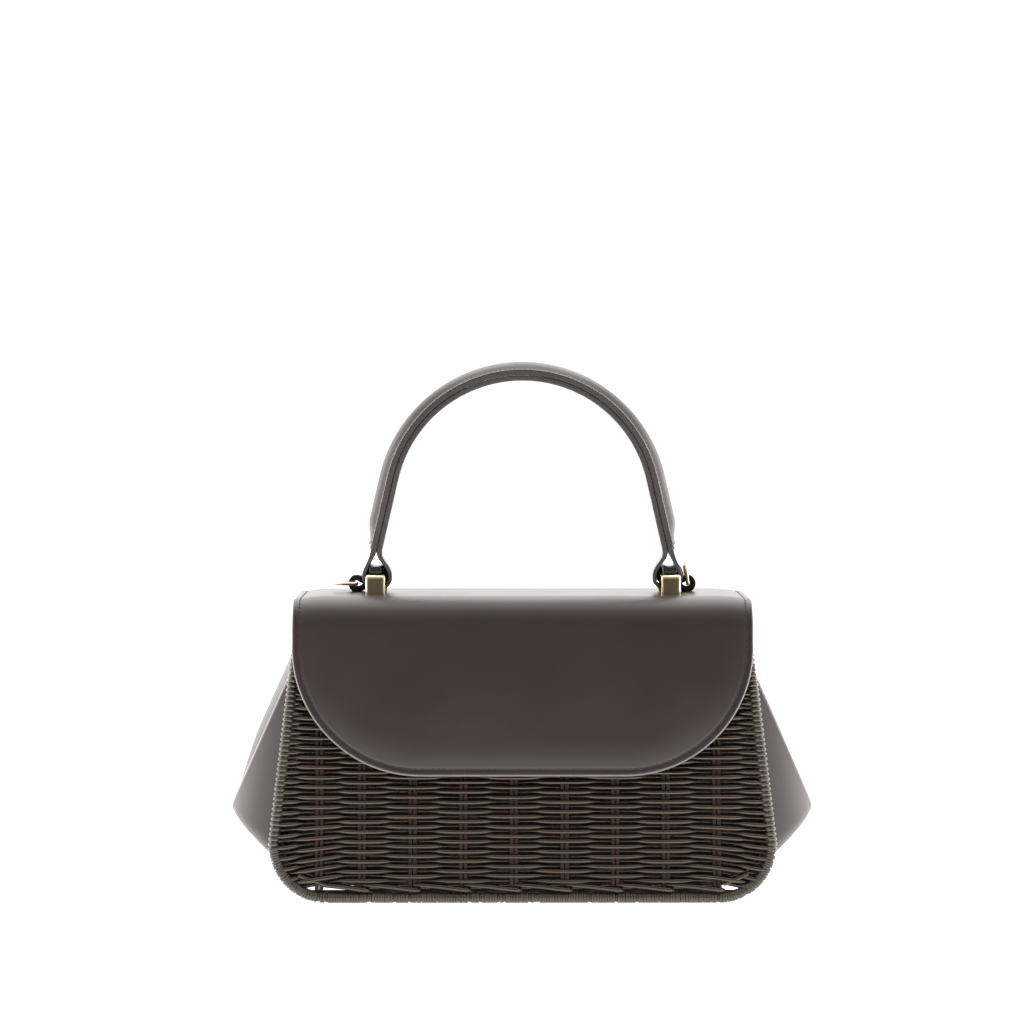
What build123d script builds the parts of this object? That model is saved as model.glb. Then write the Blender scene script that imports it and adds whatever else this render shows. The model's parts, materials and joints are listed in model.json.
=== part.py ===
"""Basket box bag: wicker front and back panels, leather gussets, base and flap, a padded strap
handle on two gold staples, and a D-ring beside each end of the handle.

Millimetres. X is the width, Y the depth with the front at -Y, +Z up. The origin is at the bottom
centre, on the surface that the bottom rods stand on.
"""

from build123d import *
import math
import os

# ---------------------------------------------------------------- driving sizes: wicker panels
PANEL_HALF = 125.5  # half-width of a panel's outline, where its sides would meet the ground
PANEL_HEIGHT = 141.0  # top of the panel's frame above the ground
SIDE_TAPER = 0.1136  # how much each side leans in, per mm of height
BOTTOM_DEPTH = 104.0  # outside depth over the bottom rods
TOP_DEPTH = 66.0  # outside depth over the top rods
BOTTOM_CORNER = 28.0  # outer radius of the frame's bottom corners
TOP_CORNER = 14.0  # outer radius of the frame's top corners
ROD_R = 1.75  # bare frame rod
BINDING_T = 1.05  # cane wound round the rod
CANE = 2.2  # woven cane
STAKE_D = 2.0  # one stake; stakes stand in pairs
STAKE_PAIRS = 9
FIRST_STAKE_IN = 27.9  # centre of the first pair, in from the panel's side
FIRST_BAY = 20.5  # the first bay is narrower, as the weaver left it
STAKE_BAY = 24.3  # the other bays
WEAVE_LIFT = 2.0  # bare stakes between the bottom rod and the first row
STAKE_FOOT = 0.7  # stakes start this far above the bottom rod, clear of its corners
STAKE_TOP = 2.2  # and end this far below the top rod

# ---------------------------------------------------------------- driving sizes: leather body
GUSSET_REACH = 15.5  # how far each gusset's point stands out past the panel's side
GUSSET_TIP_Z = 43.0
GUSSET_LOW = 20.0  # where the gusset's bulge starts and ends on the side rods
GUSSET_TOP_IN = 19.0  # the bulge ends this far below the panel's top
GUSSET_T = 2.0
GUSSET_INSET = 2.2  # the gusset is sewn this far inside the side rods' axes
BASE_Z = 12.0  # underside of the leather base
BASE_T = 2.0
BASE_END = 30.0  # height of the base's turned-up ends
BOARD_T = 2.0
LINING_T = 1.0
YOKE_T = 2.0
YOKE_DROP = 42.0
YOKE_CORNER = 30.0

# ---------------------------------------------------------------- driving sizes: flap
FLAP_HALF = 109.5
FLAP_LIFT = 0.8  # between the panels' top rods and the flap's lining
FLAP_DROP = 87.7  # from the flap's top down its front face to the lower edge
FLAP_CORNER = 62.0  # big lower corners
FLAP_EDGE_R = 11.0  # rounded front-top edge
FLAP_LEATHER_T = 1.8
FLAP_BOARD_T = 1.4
FLAP_LINING_T = 1.0
FLAP_RIM = 5.0  # turned edge round the board
FLAP_STANDOFF = 2.0  # between the woven cane and the flap's lining
HINGE_GAP = 0.2
MAGNET_R = 7.5
MAGNET_DROP = 62.0  # magnets below the flap's top, along its front face
PATCH_W = 34.0
PATCH_H = 26.0
PATCH_T = 1.6
PATCH_MAGNET_T = 1.0

# ---------------------------------------------------------------- driving sizes: handle and rings
ARCH_R = 62.0  # inside radius of the handle's arch
ARCH_RISE = 42.0  # height of the arch's centre above the flap
LEG_ANGLE = 13.0  # degrees that the legs flare outwards
PLY_T = 2.1
STRAP_W = 18.0
COVER_W = 15.6
COVER_T = 1.4
COVER_H = 4.5  # height of the padded dome above the strap
COVER_END_RISE = 23.5  # the cover's ends above the flap
STAPLE_X = 72.5
STAPLE_W = 9.5
STAPLE_T = 1.8
STAPLE_H = 9.7  # above the flap
STAPLE_PLAY = 1.2  # room under the bridge beyond the strap and the tab
LOOP_ROOM = 0.4  # inside the strap's end loop, beside the staple
PLATE_W = 15.0
PLATE_SPAN = 34.0
TAB_W = 5.4
TAB_T = 1.3
RING_GAP = 0.95  # between the strap's end loop and the ring's bar
RING_LIFT = 4.0  # ring's bar above the flap
WIRE_R = 0.9
RING_HALF = 7.1  # half-width of the ring along its wire's axis
RING_SIDE = 4.0  # straight part of the ring's sides
RING_TAB_R = 3.2
RIGHT_RING_ANGLE = 97.0  # the right ring stands up, just past upright

# ---------------------------------------------------------------- clearances
SEAT = 0.1  # between pieces bound or sewn together
FIT = 0.3  # between pieces that only lie together
PLAY = 0.3  # round the ring's bar

# ---------------------------------------------------------------- worked out
BOUND_R = ROD_R + BINDING_T
WEAVE_T = 2 * CANE + STAKE_D
LEAN_TAN = (BOTTOM_DEPTH - TOP_DEPTH) / 2 / (PANEL_HEIGHT - 2 * BOUND_R)
LEAN = math.atan(LEAN_TAN)
PANEL_UP = (PANEL_HEIGHT - 2 * BOUND_R) / math.cos(LEAN)
FLAP_T = FLAP_LEATHER_T + FLAP_BOARD_T + FLAP_LINING_T
FLAP_TOP = PANEL_HEIGHT + FLAP_LIFT + FLAP_T
FLAP_UNDER = FLAP_TOP - FLAP_T
ARCH_Z = FLAP_TOP + ARCH_RISE
COVER_END_Z = FLAP_TOP + COVER_END_RISE
GUSSET_TIP = PANEL_HALF + GUSSET_REACH
GUSSET_HIGH = PANEL_HEIGHT - GUSSET_TOP_IN
FIRST_STAKE = FIRST_STAKE_IN - PANEL_HALF
LOOP_R = STAPLE_W / 2 + LOOP_ROOM  # inside radius of the strap's end loop
RING_X = STAPLE_X + LOOP_R + PLY_T + WIRE_R + RING_GAP
STRAP_T = 2 * PLY_T
STAPLE_SPAN = STRAP_W + TAB_W + 2 * (STAPLE_T + STAPLE_PLAY) + 2 * SEAT


def rod_x(z):
    """Half-width of the frame's axis at height z."""
    return PANEL_HALF - BOUND_R - SIDE_TAPER * z


def rod_y(z):
    """Distance of the frame's axis from the middle plane at height z."""
    return BOTTOM_DEPTH / 2 - BOUND_R - (z - BOUND_R) * LEAN_TAN


# The front panel's own plane: X along the width, Y up the panel, Z outwards.
FRONT = Plane(
    origin=(0, -rod_y(BOUND_R), BOUND_R),
    x_dir=(1, 0, 0),
    z_dir=(0, -math.cos(LEAN), math.sin(LEAN)),
)
SECTION = Plane(origin=(0, 0, 0), x_dir=(0, 1, 0), z_dir=(1, 0, 0))  # looks along the width
ELEVATION = Plane(origin=(0, 0, 0), x_dir=(1, 0, 0), z_dir=(0, -1, 0))  # looks at the front

WEAVE_FACE = WEAVE_T / 2  # the weave's outer face along the front plane's normal
HINGE_Y = rod_y(FLAP_UNDER) + (WEAVE_FACE + SEAT + YOKE_T) / math.cos(LEAN)


def back(shape):
    """The same piece on the back of the bag."""
    return mirror(shape, about=Plane.XZ)


def other_side(shape):
    """The same piece on the right-hand side."""
    return mirror(shape, about=Plane.YZ)


# ---------------------------------------------------------------- wicker panels
def frame_face():
    """The area inside the frame's axis, in the panel's own plane."""
    low = rod_x(BOUND_R)
    high = rod_x(PANEL_HEIGHT - BOUND_R)
    outline = Polygon((-low, 0), (low, 0), (high, PANEL_UP), (-high, PANEL_UP), align=None)
    corners = outline.vertices().sort_by(Axis.Y)
    outline = fillet(corners[2:], TOP_CORNER - BOUND_R)
    corners = outline.vertices().sort_by(Axis.Y)
    sharp = [v for v in corners if abs(v.Y) < 1e-6]
    return fillet(sharp, BOTTOM_CORNER - BOUND_R)


def frame_tube(radius):
    """A round bar along the frame's axis."""
    path = (FRONT * frame_face()).face().outer_wire()
    start = path.position_at(0)
    section = Plane(origin=start, z_dir=path.tangent_at(0)) * Circle(radius)
    return sweep(section, path=path)


def frame_rod():
    return frame_tube(ROD_R)


def frame_binding():
    return frame_tube(BOUND_R) - frame_tube(ROD_R + SEAT / 2)


def stake_places():
    """The middle of each pair of stakes."""
    places = [FIRST_STAKE]
    for bay in range(STAKE_PAIRS - 1):
        places.append(FIRST_STAKE + FIRST_BAY + bay * STAKE_BAY)
    return places


def stakes():
    """Pairs of upright canes from the bottom rod to the top one."""
    low = BOUND_R + STAKE_FOOT
    length = PANEL_UP - 2 * BOUND_R - STAKE_FOOT - STAKE_TOP
    rods = []
    for place in stake_places():
        for side in (-1, 1):
            foot = FRONT * Location((place + side * (STAKE_D + SEAT) / 2, low, 0), (-90, 0, 0))
            rods.append(foot * Cylinder(STAKE_D / 2, length, align=(Align.CENTER, Align.CENTER, Align.MIN)))
    return Compound(children=[rod.solid() for rod in rods])


def weave():
    """The woven field as one slab, with a slot round each pair of stakes."""
    field = offset(frame_face(), amount=-(BOUND_R + SEAT))
    lift = BOUND_R + WEAVE_LIFT
    keep = Location((0, lift + PANEL_UP / 2)) * Rectangle(4 * PANEL_HALF, PANEL_UP)
    field = field & keep
    slab = extrude(FRONT * field, amount=WEAVE_T / 2, both=True)
    slots = []
    for place in stake_places():
        slot = Location((place, PANEL_UP / 2)) * Rectangle(2 * STAKE_D + 3 * SEAT, 2 * PANEL_UP)
        slots.append(extrude(FRONT * slot, amount=STAKE_D / 2 + SEAT / 2, both=True))
    return slab - slots


# ---------------------------------------------------------------- leather body
def between_panels(clearance):
    """The space between the two woven fields, less a clearance on each."""
    gap = (WEAVE_T / 2 + clearance) / math.cos(LEAN)
    top = PANEL_HEIGHT + 40
    low_y = rod_y(0) - gap
    high_y = rod_y(top) - gap
    face = SECTION * Polygon((-low_y, 0), (low_y, 0), (high_y, top), (-high_y, top), align=None)
    return extrude(face, amount=2 * PANEL_HALF, both=True)


def belly_face(inset, floor, top):
    """The bag's body seen from the front, inset all round, between two heights."""
    end = rod_x(BASE_END) - GUSSET_INSET - SEAT
    corner = BOTTOM_CORNER - 8.0
    high = rod_x(PANEL_HEIGHT + 60) - GUSSET_INSET - SEAT
    outline = Polygon(
        (-high, PANEL_HEIGHT + 60),
        (-end, BASE_END),
        (-end + corner * 0.08, BASE_Z + corner * 0.33),
        (-end + corner * 0.45, BASE_Z),
        (end - corner * 0.45, BASE_Z),
        (end - corner * 0.08, BASE_Z + corner * 0.33),
        (end, BASE_END),
        (high, PANEL_HEIGHT + 60),
        align=None,
    )
    face = offset(outline, amount=-inset, kind=Kind.INTERSECTION) if inset else outline
    window = Location((0, (floor + top) / 2)) * Rectangle(4 * PANEL_HALF, top - floor)
    return face & window


def belly(inset, floor, top):
    return extrude(ELEVATION * belly_face(inset, floor, top), amount=BOTTOM_DEPTH, both=True)


def base_panel():
    """Leather base with its ends turned up to meet the gussets."""
    strip = belly(0, 0, BASE_END) - belly(BASE_T, 0, BASE_END + 1)
    return strip & between_panels(FIT)


def base_board():
    low = BASE_Z + BASE_T + SEAT
    return belly(BASE_T + 2 * FIT, low, low + BOARD_T) & between_panels(2 * FIT)


def lining():
    """Fabric lining, open at the top."""
    floor = BASE_Z + BASE_T + BOARD_T + 2 * SEAT
    rim = PANEL_HEIGHT - 2 * BOUND_R
    outside = belly(BASE_T + GUSSET_T, floor, rim) & between_panels(FIT)
    inside = belly(BASE_T + GUSSET_T + LINING_T, floor + LINING_T, PANEL_HEIGHT + 20)
    return outside - (inside & between_panels(FIT + LINING_T))


def gusset_left():
    """One leather piece: a flat band at the top and a soft four-sided point below it."""
    point = Vertex(-GUSSET_TIP, 0, GUSSET_TIP_Z)

    def corner(z, side):
        return (-(rod_x(z) - GUSSET_INSET), side * (rod_y(z) - WEAVE_T / 2 / math.cos(LEAN) - 2 * SEAT), z)

    low = GUSSET_LOW
    high = GUSSET_HIGH
    mouth = Face(Wire.make_polygon([corner(low, -1), corner(high, -1), corner(high, 1), corner(low, 1)]))
    bulge = Solid.make_loft([mouth.outer_wire(), point])
    inner = bulge.moved(Location((GUSSET_T * 1.15, 0, 0)))
    shell = bulge - inner

    rim = PANEL_HEIGHT - BOUND_R
    seam = high - 4 * GUSSET_T
    strip = Wire.make_polygon([corner(seam, -1), corner(rim, -1), corner(rim, 1), corner(seam, 1)])
    band_face = Face(strip)
    band = extrude(band_face, amount=GUSSET_T * 0.8, dir=(1, 0, 0)) + extrude(
        band_face, amount=GUSSET_T * 0.2, dir=(-1, 0, 0)
    )
    return shell + band


def back_yoke():
    """Leather sewn over the top of the back panel, from which the flap swings."""
    top = (FLAP_UNDER - FIT - BOUND_R) / math.cos(LEAN)
    sheet = Location((0, top - YOKE_DROP / 2)) * Rectangle(2 * FLAP_HALF, YOKE_DROP)
    low = sheet.vertices().sort_by(Axis.Y)[:2]
    face = FRONT * fillet(low, YOKE_CORNER)
    start = WEAVE_FACE + SEAT
    slab = extrude(face.face().moved(Location(FRONT.z_dir * start)), amount=YOKE_T)
    ceiling = Location((0, 0, FLAP_UNDER - FIT)) * Box(
        4 * PANEL_HALF, 4 * BOTTOM_DEPTH, 50, align=(Align.CENTER, Align.CENTER, Align.MIN)
    )
    return back(slab - ceiling)


# ---------------------------------------------------------------- flap
def flap_line(depth):
    """A line parallel to the flap's outer face, at a depth inside it: (foot, corner, back end)."""
    out = WEAVE_FACE + FLAP_STANDOFF + FLAP_T - depth
    top = FLAP_TOP - depth
    face_y = out / math.cos(LEAN)
    corner = (-(rod_y(top) + face_y), top)
    foot_z = FLAP_TOP - FLAP_DROP * math.cos(LEAN) - 30
    foot = (-(rod_y(foot_z) + face_y), foot_z)
    return foot, corner, (HINGE_Y - HINGE_GAP, top)


def flap_outline(inset):
    """The flap seen square to its front face; it runs on past the top."""
    top_v = (FLAP_TOP - BOUND_R) / math.cos(LEAN) + 60
    # The foot of the flap, measured from its top along the front face.
    foot_v = (FLAP_TOP - BOUND_R) / math.cos(LEAN) - FLAP_DROP
    half = FLAP_HALF - inset
    height = top_v - foot_v - inset
    sheet = Location((0, foot_v + inset + height / 2)) * Rectangle(2 * half, height)
    low = sheet.vertices().sort_by(Axis.Y)[:2]
    return fillet(low, FLAP_CORNER - inset)


def flap_layer(depth, thickness, inset=0.0, end=0.0):
    """One layer of the flap, bent over its front-top edge."""
    outer = flap_line(depth)
    inner = flap_line(depth + thickness)
    shell = Polygon(outer[0], outer[1], outer[2], inner[2], inner[1], inner[0], align=None)
    for line, radius in ((outer, FLAP_EDGE_R - depth), (inner, FLAP_EDGE_R - depth - thickness)):
        corner = [v for v in shell.vertices() if (Vector(v.X, v.Y) - Vector(*line[1])).length < 0.01]
        shell = fillet(corner, radius)
    solid = extrude(SECTION * shell, amount=FLAP_HALF - inset, both=True)
    window = extrude(FRONT * flap_outline(inset), amount=3 * BOTTOM_DEPTH, both=True)
    if end:
        cut = Location((0, HINGE_Y - end, 0)) * Box(
            4 * PANEL_HALF, 100, 4 * PANEL_HEIGHT, align=(Align.CENTER, Align.MIN, Align.CENTER)
        )
        solid = solid - cut
    return solid & window


def on_flap_front(drop, depth):
    """A place on the flap's front, facing out, at a drop below its top and a depth inside it."""
    v = (FLAP_TOP - BOUND_R) / math.cos(LEAN) - drop
    out = WEAVE_FACE + FLAP_STANDOFF + FLAP_T - depth
    return FRONT * Location((0, v, out))


def staple_slots(grow):
    """Where the staples' legs pass through the flap, on both sides."""
    legs = []
    for x in (-STAPLE_X, STAPLE_X):
        for side in (-1, 1):
            y = HANDLE_Y + side * (STAPLE_SPAN - STAPLE_T) / 2
            legs.append(Location((x, y, FLAP_UNDER)) * Box(STAPLE_W + grow, STAPLE_T + grow, 4 * FLAP_T))
    return legs


def flap_leather():
    skin = flap_layer(0, FLAP_LEATHER_T)
    rim = flap_layer(FLAP_LEATHER_T, FLAP_BOARD_T) - flap_layer(
        FLAP_LEATHER_T - 0.2, FLAP_BOARD_T + 0.4, FLAP_RIM, FLAP_RIM
    )
    return skin + rim - staple_slots(SEAT)


def flap_board():
    board = flap_layer(FLAP_LEATHER_T + SEAT / 2, FLAP_BOARD_T - SEAT, FLAP_RIM + SEAT, FLAP_RIM + SEAT)
    pocket = on_flap_front(MAGNET_DROP, FLAP_LEATHER_T) * Cylinder(MAGNET_R + SEAT, 3 * FLAP_T)
    plates = []
    for x in (-STAPLE_X, STAPLE_X):
        plates.append(Location((x, HANDLE_Y, FLAP_TOP)) * Box(PLATE_W + SEAT, PLATE_SPAN + SEAT, 4 * FLAP_T))
    return board - pocket - plates


def flap_lining():
    return flap_layer(FLAP_LEATHER_T + FLAP_BOARD_T, FLAP_LINING_T)


def magnet_flap():
    middle = on_flap_front(MAGNET_DROP, FLAP_LEATHER_T + FLAP_BOARD_T / 2)
    return middle * Cylinder(MAGNET_R, FLAP_BOARD_T - SEAT)


def patch_place(height):
    """A place over the front panel's weave, under the flap's magnet."""
    v = (FLAP_TOP - BOUND_R) / math.cos(LEAN) - MAGNET_DROP
    return FRONT * Location((0, v, WEAVE_FACE + SEAT + height))


def magnet_patch():
    sheet = fillet(Rectangle(PATCH_W, PATCH_H).vertices(), 6.0)
    patch = extrude(patch_place(0) * sheet, amount=PATCH_T)
    pocket = patch_place(0) * Cylinder(MAGNET_R + SEAT, 2 * (PATCH_MAGNET_T + SEAT))
    return patch - pocket


def magnet_front():
    return patch_place(PATCH_MAGNET_T / 2) * Cylinder(MAGNET_R, PATCH_MAGNET_T)


# ---------------------------------------------------------------- handle
HANDLE_Y = (HINGE_Y + flap_line(0)[1][0]) / 2  # the handle stands in the middle of the flap's top
STAPLE_MID_Z = FLAP_TOP + STAPLE_H - STAPLE_T / 2
STRAP_Y = HANDLE_Y - STAPLE_SPAN / 2 + STAPLE_T + STAPLE_PLAY + STRAP_W / 2
TAB_Y = STRAP_Y + STRAP_W / 2 + 2 * SEAT + TAB_W / 2


def arch_region(inner, outer, low_z):
    """The handle's arch and its flared legs, between two offsets from its inner face."""
    angle = 90 - LEG_ANGLE
    end = Vector(ARCH_R * math.sin(math.radians(angle)), ARCH_Z + ARCH_R * math.cos(math.radians(angle)))
    ring = Circle(ARCH_R + outer) - Circle(ARCH_R + inner)
    ring = Location((0, ARCH_Z)) * ring
    reach = 4 * ARCH_R
    side = reach * math.tan(math.radians(angle))
    sector = Polygon((0, ARCH_Z), (side, ARCH_Z + reach), (-side, ARCH_Z + reach), align=None)
    top = ring & sector
    leg_length = (end.Y - low_z) / math.cos(math.radians(LEG_ANGLE)) + 10
    leg = Location((end.X, end.Y), LEG_ANGLE) * Location(((inner + outer) / 2, -leg_length / 2)) * Rectangle(
        outer - inner, leg_length
    )
    window = Location((0, low_z + reach)) * Rectangle(2 * reach, 2 * reach)
    legs = (leg + mirror(leg, about=Plane.YZ)) & window
    return top + legs


def loop_outline(grow):
    """The right-hand end loop: round under the staple's bridge, closing up to the leg."""
    angle = math.radians(LEG_ANGLE)
    end = Vector(ARCH_R * math.cos(angle), ARCH_Z + ARCH_R * math.sin(angle))
    split_z = STAPLE_MID_Z + 2.2 * LOOP_R
    split_x = end.X + (end.Y - split_z) * math.tan(angle) + PLY_T / math.cos(angle)
    centre = Vector(STAPLE_X, STAPLE_MID_Z)
    away = Vector(split_x, split_z) - centre
    length = away.length
    tilt = math.atan2(away.X, away.Y)
    half = math.acos(LOOP_R / length)
    touch = []
    for side in (-1, 1):
        turn = tilt + side * half
        radius = LOOP_R + grow
        touch.append((centre.X + radius * math.sin(turn), centre.Y + radius * math.cos(turn)))
    peak = (
        centre.X + (length + grow * length / LOOP_R) * math.sin(tilt),
        centre.Y + (length + grow * length / LOOP_R) * math.cos(tilt),
    )
    tip = Polygon(touch[0], peak, touch[1], (centre.X, centre.Y), align=None)
    return tip + Location((centre.X, centre.Y)) * Circle(LOOP_R + grow)


def handle_strap():
    """Closed leather band: two plies along the arch, parting into a loop at each staple."""
    loop = loop_outline(PLY_T)
    low = loop.bounding_box().max.Y - 2 * LOOP_R
    band = arch_region(0, STRAP_T, low)
    hole = loop_outline(0)
    face = band + loop + mirror(loop, about=Plane.YZ)
    face = face - hole - mirror(hole, about=Plane.YZ)
    return Location((0, STRAP_Y, 0)) * extrude(ELEVATION * face, amount=STRAP_W / 2, both=True)


def arch_path(out, low_z):
    """A line along the handle from left foot to right foot, at a distance outside its inner face."""
    angle = math.radians(LEG_ANGLE)
    radius = ARCH_R + out
    bend = Vector(-radius * math.cos(angle), ARCH_Z + radius * math.sin(angle))
    foot = Vector(bend.X - (bend.Y - low_z) * math.tan(angle), low_z)
    left = Line((foot.X, 0, foot.Y), (bend.X, 0, bend.Y))
    over = ThreePointArc((bend.X, 0, bend.Y), (0, 0, ARCH_Z + radius), (-bend.X, 0, bend.Y))
    right = Line((-bend.X, 0, bend.Y), (-foot.X, 0, foot.Y))
    return Wire([left.edge(), over.edge(), right.edge()]).moved(Location((0, STRAP_Y, 0)))


def dome(width, height, lift, low_z):
    """A rounded pad section swept over the arch and the upper legs."""
    path = arch_path(STRAP_T + lift, low_z)
    chord = Line((width / 2, 0), (-width / 2, 0))
    crown = ThreePointArc((-width / 2, 0), (0, height), (width / 2, 0))
    place = Plane(origin=path.position_at(0), x_dir=(0, 1, 0), z_dir=path.tangent_at(0))
    return sweep(place * make_face([chord.edge(), crown.edge()]), path=path)


def handle_cover():
    """Leather over the handle's filler, sewn to the strap along both edges."""
    space_w = COVER_W - 2 * COVER_T
    space = dome(space_w, COVER_H - SEAT - COVER_T, SEAT, COVER_END_Z - COVER_T)
    return dome(COVER_W, COVER_H - SEAT, SEAT, COVER_END_Z) - space


def handle_core():
    """Soft filler that gives the handle its round back."""
    width = COVER_W - 2 * COVER_T - 2 * SEAT
    return dome(width, COVER_H - COVER_T - 3 * SEAT, 2 * SEAT, COVER_END_Z)


# ---------------------------------------------------------------- staples, tabs and rings
def staple_left():
    """A flat gold strip bent into a bridge along the depth; its legs go down through the flap."""
    foot = FLAP_UNDER + FLAP_LINING_T + SEAT
    top = FLAP_TOP + STAPLE_H
    outer = Location((HANDLE_Y, (foot + top) / 2)) * Rectangle(STAPLE_SPAN, top - foot)
    upper = outer.vertices().sort_by(Axis.Y)[2:]
    outer = fillet(upper, 1.6 * STAPLE_T)
    inside_h = top - STAPLE_T - foot
    inner = Location((HANDLE_Y, foot + inside_h / 2 - 1)) * Rectangle(STAPLE_SPAN - 2 * STAPLE_T, inside_h + 2)
    upper = inner.vertices().sort_by(Axis.Y)[2:]
    inner = fillet(upper, 0.6 * STAPLE_T)
    strip = extrude(SECTION * (outer - inner), amount=STAPLE_W / 2, both=True)
    return Location((-STAPLE_X, 0, 0)) * strip


def staple_plate_left():
    """Backing plate under the leather, into which the staple's legs are riveted."""
    middle = FLAP_UNDER + FLAP_LINING_T + FLAP_BOARD_T / 2
    plate = Location((-STAPLE_X, HANDLE_Y, middle)) * Box(PLATE_W, PLATE_SPAN, FLAP_BOARD_T - SEAT)
    return plate - staple_slots(SEAT)


def ring_middle():
    return Vector(-RING_X, FLAP_TOP + RING_LIFT)


def ring_tab_left():
    """A dark leather tab folded round the bridge and round the ring's bar."""
    bar = ring_middle()
    hold_w = STAPLE_W + 2 * SEAT
    hold_h = STAPLE_T + 2 * SEAT
    strip = Location((-STAPLE_X, STAPLE_MID_Z)) * RectangleRounded(
        hold_w + 2 * TAB_T, hold_h + 2 * TAB_T, TAB_T
    )
    slot = Location((-STAPLE_X, STAPLE_MID_Z)) * Rectangle(hold_w, hold_h)
    eye = Location((bar.X, bar.Y)) * Circle(RING_TAB_R)
    shoulder_x = -(STAPLE_X + hold_w / 2)
    neck = Polygon(
        (shoulder_x, STAPLE_MID_Z + hold_h / 4),
        (bar.X - RING_TAB_R * 0.55, bar.Y + RING_TAB_R * 0.8),
        (bar.X + RING_TAB_R * 0.4, bar.Y - RING_TAB_R * 0.85),
        (shoulder_x + TAB_T, STAPLE_MID_Z - hold_h / 2 - TAB_T * 0.9),
        align=None,
    )
    bore = Location((bar.X, bar.Y)) * Circle(WIRE_R + PLAY)
    face = strip + neck + eye - slot - bore
    return Location((0, TAB_Y, 0)) * extrude(ELEVATION * face, amount=TAB_W / 2, both=True)


def d_ring(side, angle):
    """A wire D-ring whose bar lies along the depth; angle 0 lies flat, pointing outwards."""
    # Drawn flat, with the bar on the Y axis and the bow towards +X.
    bar = Location((0, 0, 0), (90, 0, 0)) * Cylinder(WIRE_R, 2 * RING_HALF)
    bow_path = Wire(
        [
            Line((0, -RING_HALF), (RING_SIDE, -RING_HALF)).edge(),
            CenterArc((RING_SIDE, 0), RING_HALF, -90, 180).edge(),
            Line((RING_SIDE, RING_HALF), (0, RING_HALF)).edge(),
        ]
    )
    section = Plane(origin=(0, -RING_HALF, 0), z_dir=(1, 0, 0)) * Circle(WIRE_R)
    bow = sweep(section, path=bow_path)
    ends = [Location((0, y, 0)) * Sphere(WIRE_R) for y in (-RING_HALF, RING_HALF)]
    ring = bar + bow + ends
    # Turned up about the bar, then set on its own side of the bag.
    ring = Rot(0, -angle, 0) * ring
    ring = Location((RING_X, TAB_Y, FLAP_TOP + RING_LIFT)) * ring
    return other_side(ring) if side < 0 else ring


PIECES = {
    "front_frame_rod": frame_rod(),
    "front_frame_binding": frame_binding(),
    "front_stakes": stakes(),
    "front_weave": weave(),
    "back_frame_rod": back(frame_rod()),
    "back_frame_binding": back(frame_binding()),
    "back_stakes": back(stakes()),
    "back_weave": back(weave()),
    "gusset_left": gusset_left(),
    "gusset_right": other_side(gusset_left()),
    "base_panel": base_panel(),
    "base_board": base_board(),
    "lining": lining(),
    "back_yoke": back_yoke(),
    "magnet_patch": magnet_patch(),
    "magnet_front": magnet_front(),
    "flap_leather": flap_leather(),
    "flap_board": flap_board(),
    "flap_lining": flap_lining(),
    "magnet_flap": magnet_flap(),
    "handle_strap": handle_strap(),
    "handle_core": handle_core(),
    "handle_cover": handle_cover(),
    "staple_left": staple_left(),
    "staple_right": other_side(staple_left()),
    "staple_plate_left": staple_plate_left(),
    "staple_plate_right": other_side(staple_plate_left()),
    "ring_tab_left": ring_tab_left(),
    "ring_tab_right": other_side(ring_tab_left()),
    "d_ring_left": d_ring(-1, 0.0),
    "d_ring_right": d_ring(1, RIGHT_RING_ANGLE),
}

os.makedirs("parts", exist_ok=True)
for name, piece in PIECES.items():
    export_step(piece, f"parts/{name}.step")

print("hinge line: y", round(HINGE_Y, 3), "z", FLAP_TOP, "lean", round(math.degrees(LEAN), 3))
print("ring bar: x", RING_X, "y", round(TAB_Y, 3), "z", FLAP_TOP + RING_LIFT)
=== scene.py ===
"""Basket box bag: woven cane panels, leather gussets and flap, padded handle and gold fittings.

Metres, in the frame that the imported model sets: X is the width, the front is at -Y, +Z is up.
"""

import json
import logging
import math
import random
from dataclasses import dataclass, field
from enum import Enum
from typing import Callable, Iterable, Optional, Sequence

import bpy
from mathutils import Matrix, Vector


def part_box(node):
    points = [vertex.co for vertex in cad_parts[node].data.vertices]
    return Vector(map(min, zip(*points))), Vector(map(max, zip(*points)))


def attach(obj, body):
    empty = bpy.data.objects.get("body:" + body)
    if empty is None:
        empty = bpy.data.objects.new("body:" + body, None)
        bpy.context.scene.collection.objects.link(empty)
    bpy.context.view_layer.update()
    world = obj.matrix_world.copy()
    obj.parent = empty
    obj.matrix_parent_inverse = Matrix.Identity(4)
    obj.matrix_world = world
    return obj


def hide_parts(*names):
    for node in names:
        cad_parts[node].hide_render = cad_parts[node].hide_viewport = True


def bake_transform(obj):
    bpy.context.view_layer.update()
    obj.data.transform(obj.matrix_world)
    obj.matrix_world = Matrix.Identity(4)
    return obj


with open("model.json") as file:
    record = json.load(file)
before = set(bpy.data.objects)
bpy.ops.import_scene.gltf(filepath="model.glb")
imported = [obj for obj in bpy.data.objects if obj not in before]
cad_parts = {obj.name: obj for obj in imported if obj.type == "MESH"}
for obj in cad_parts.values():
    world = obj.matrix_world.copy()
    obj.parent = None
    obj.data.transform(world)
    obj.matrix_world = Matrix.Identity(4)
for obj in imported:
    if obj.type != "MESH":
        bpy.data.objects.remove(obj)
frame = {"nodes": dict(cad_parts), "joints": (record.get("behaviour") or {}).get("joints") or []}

LOG = logging.getLogger("basket_bag")
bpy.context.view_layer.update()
MM = 0.001
AXIS_HALF = 122.7 * MM  # Half-width of the frame rod's axis at the ground,
AXIS_TAPER = 0.1136  # and what it loses for each unit of height.
AXIS_FOOT = 2.8 * MM  # Height of the bottom rod's axis,
AXIS_DEPTH = 49.2 * MM  # and its distance from the middle plane.
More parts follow.
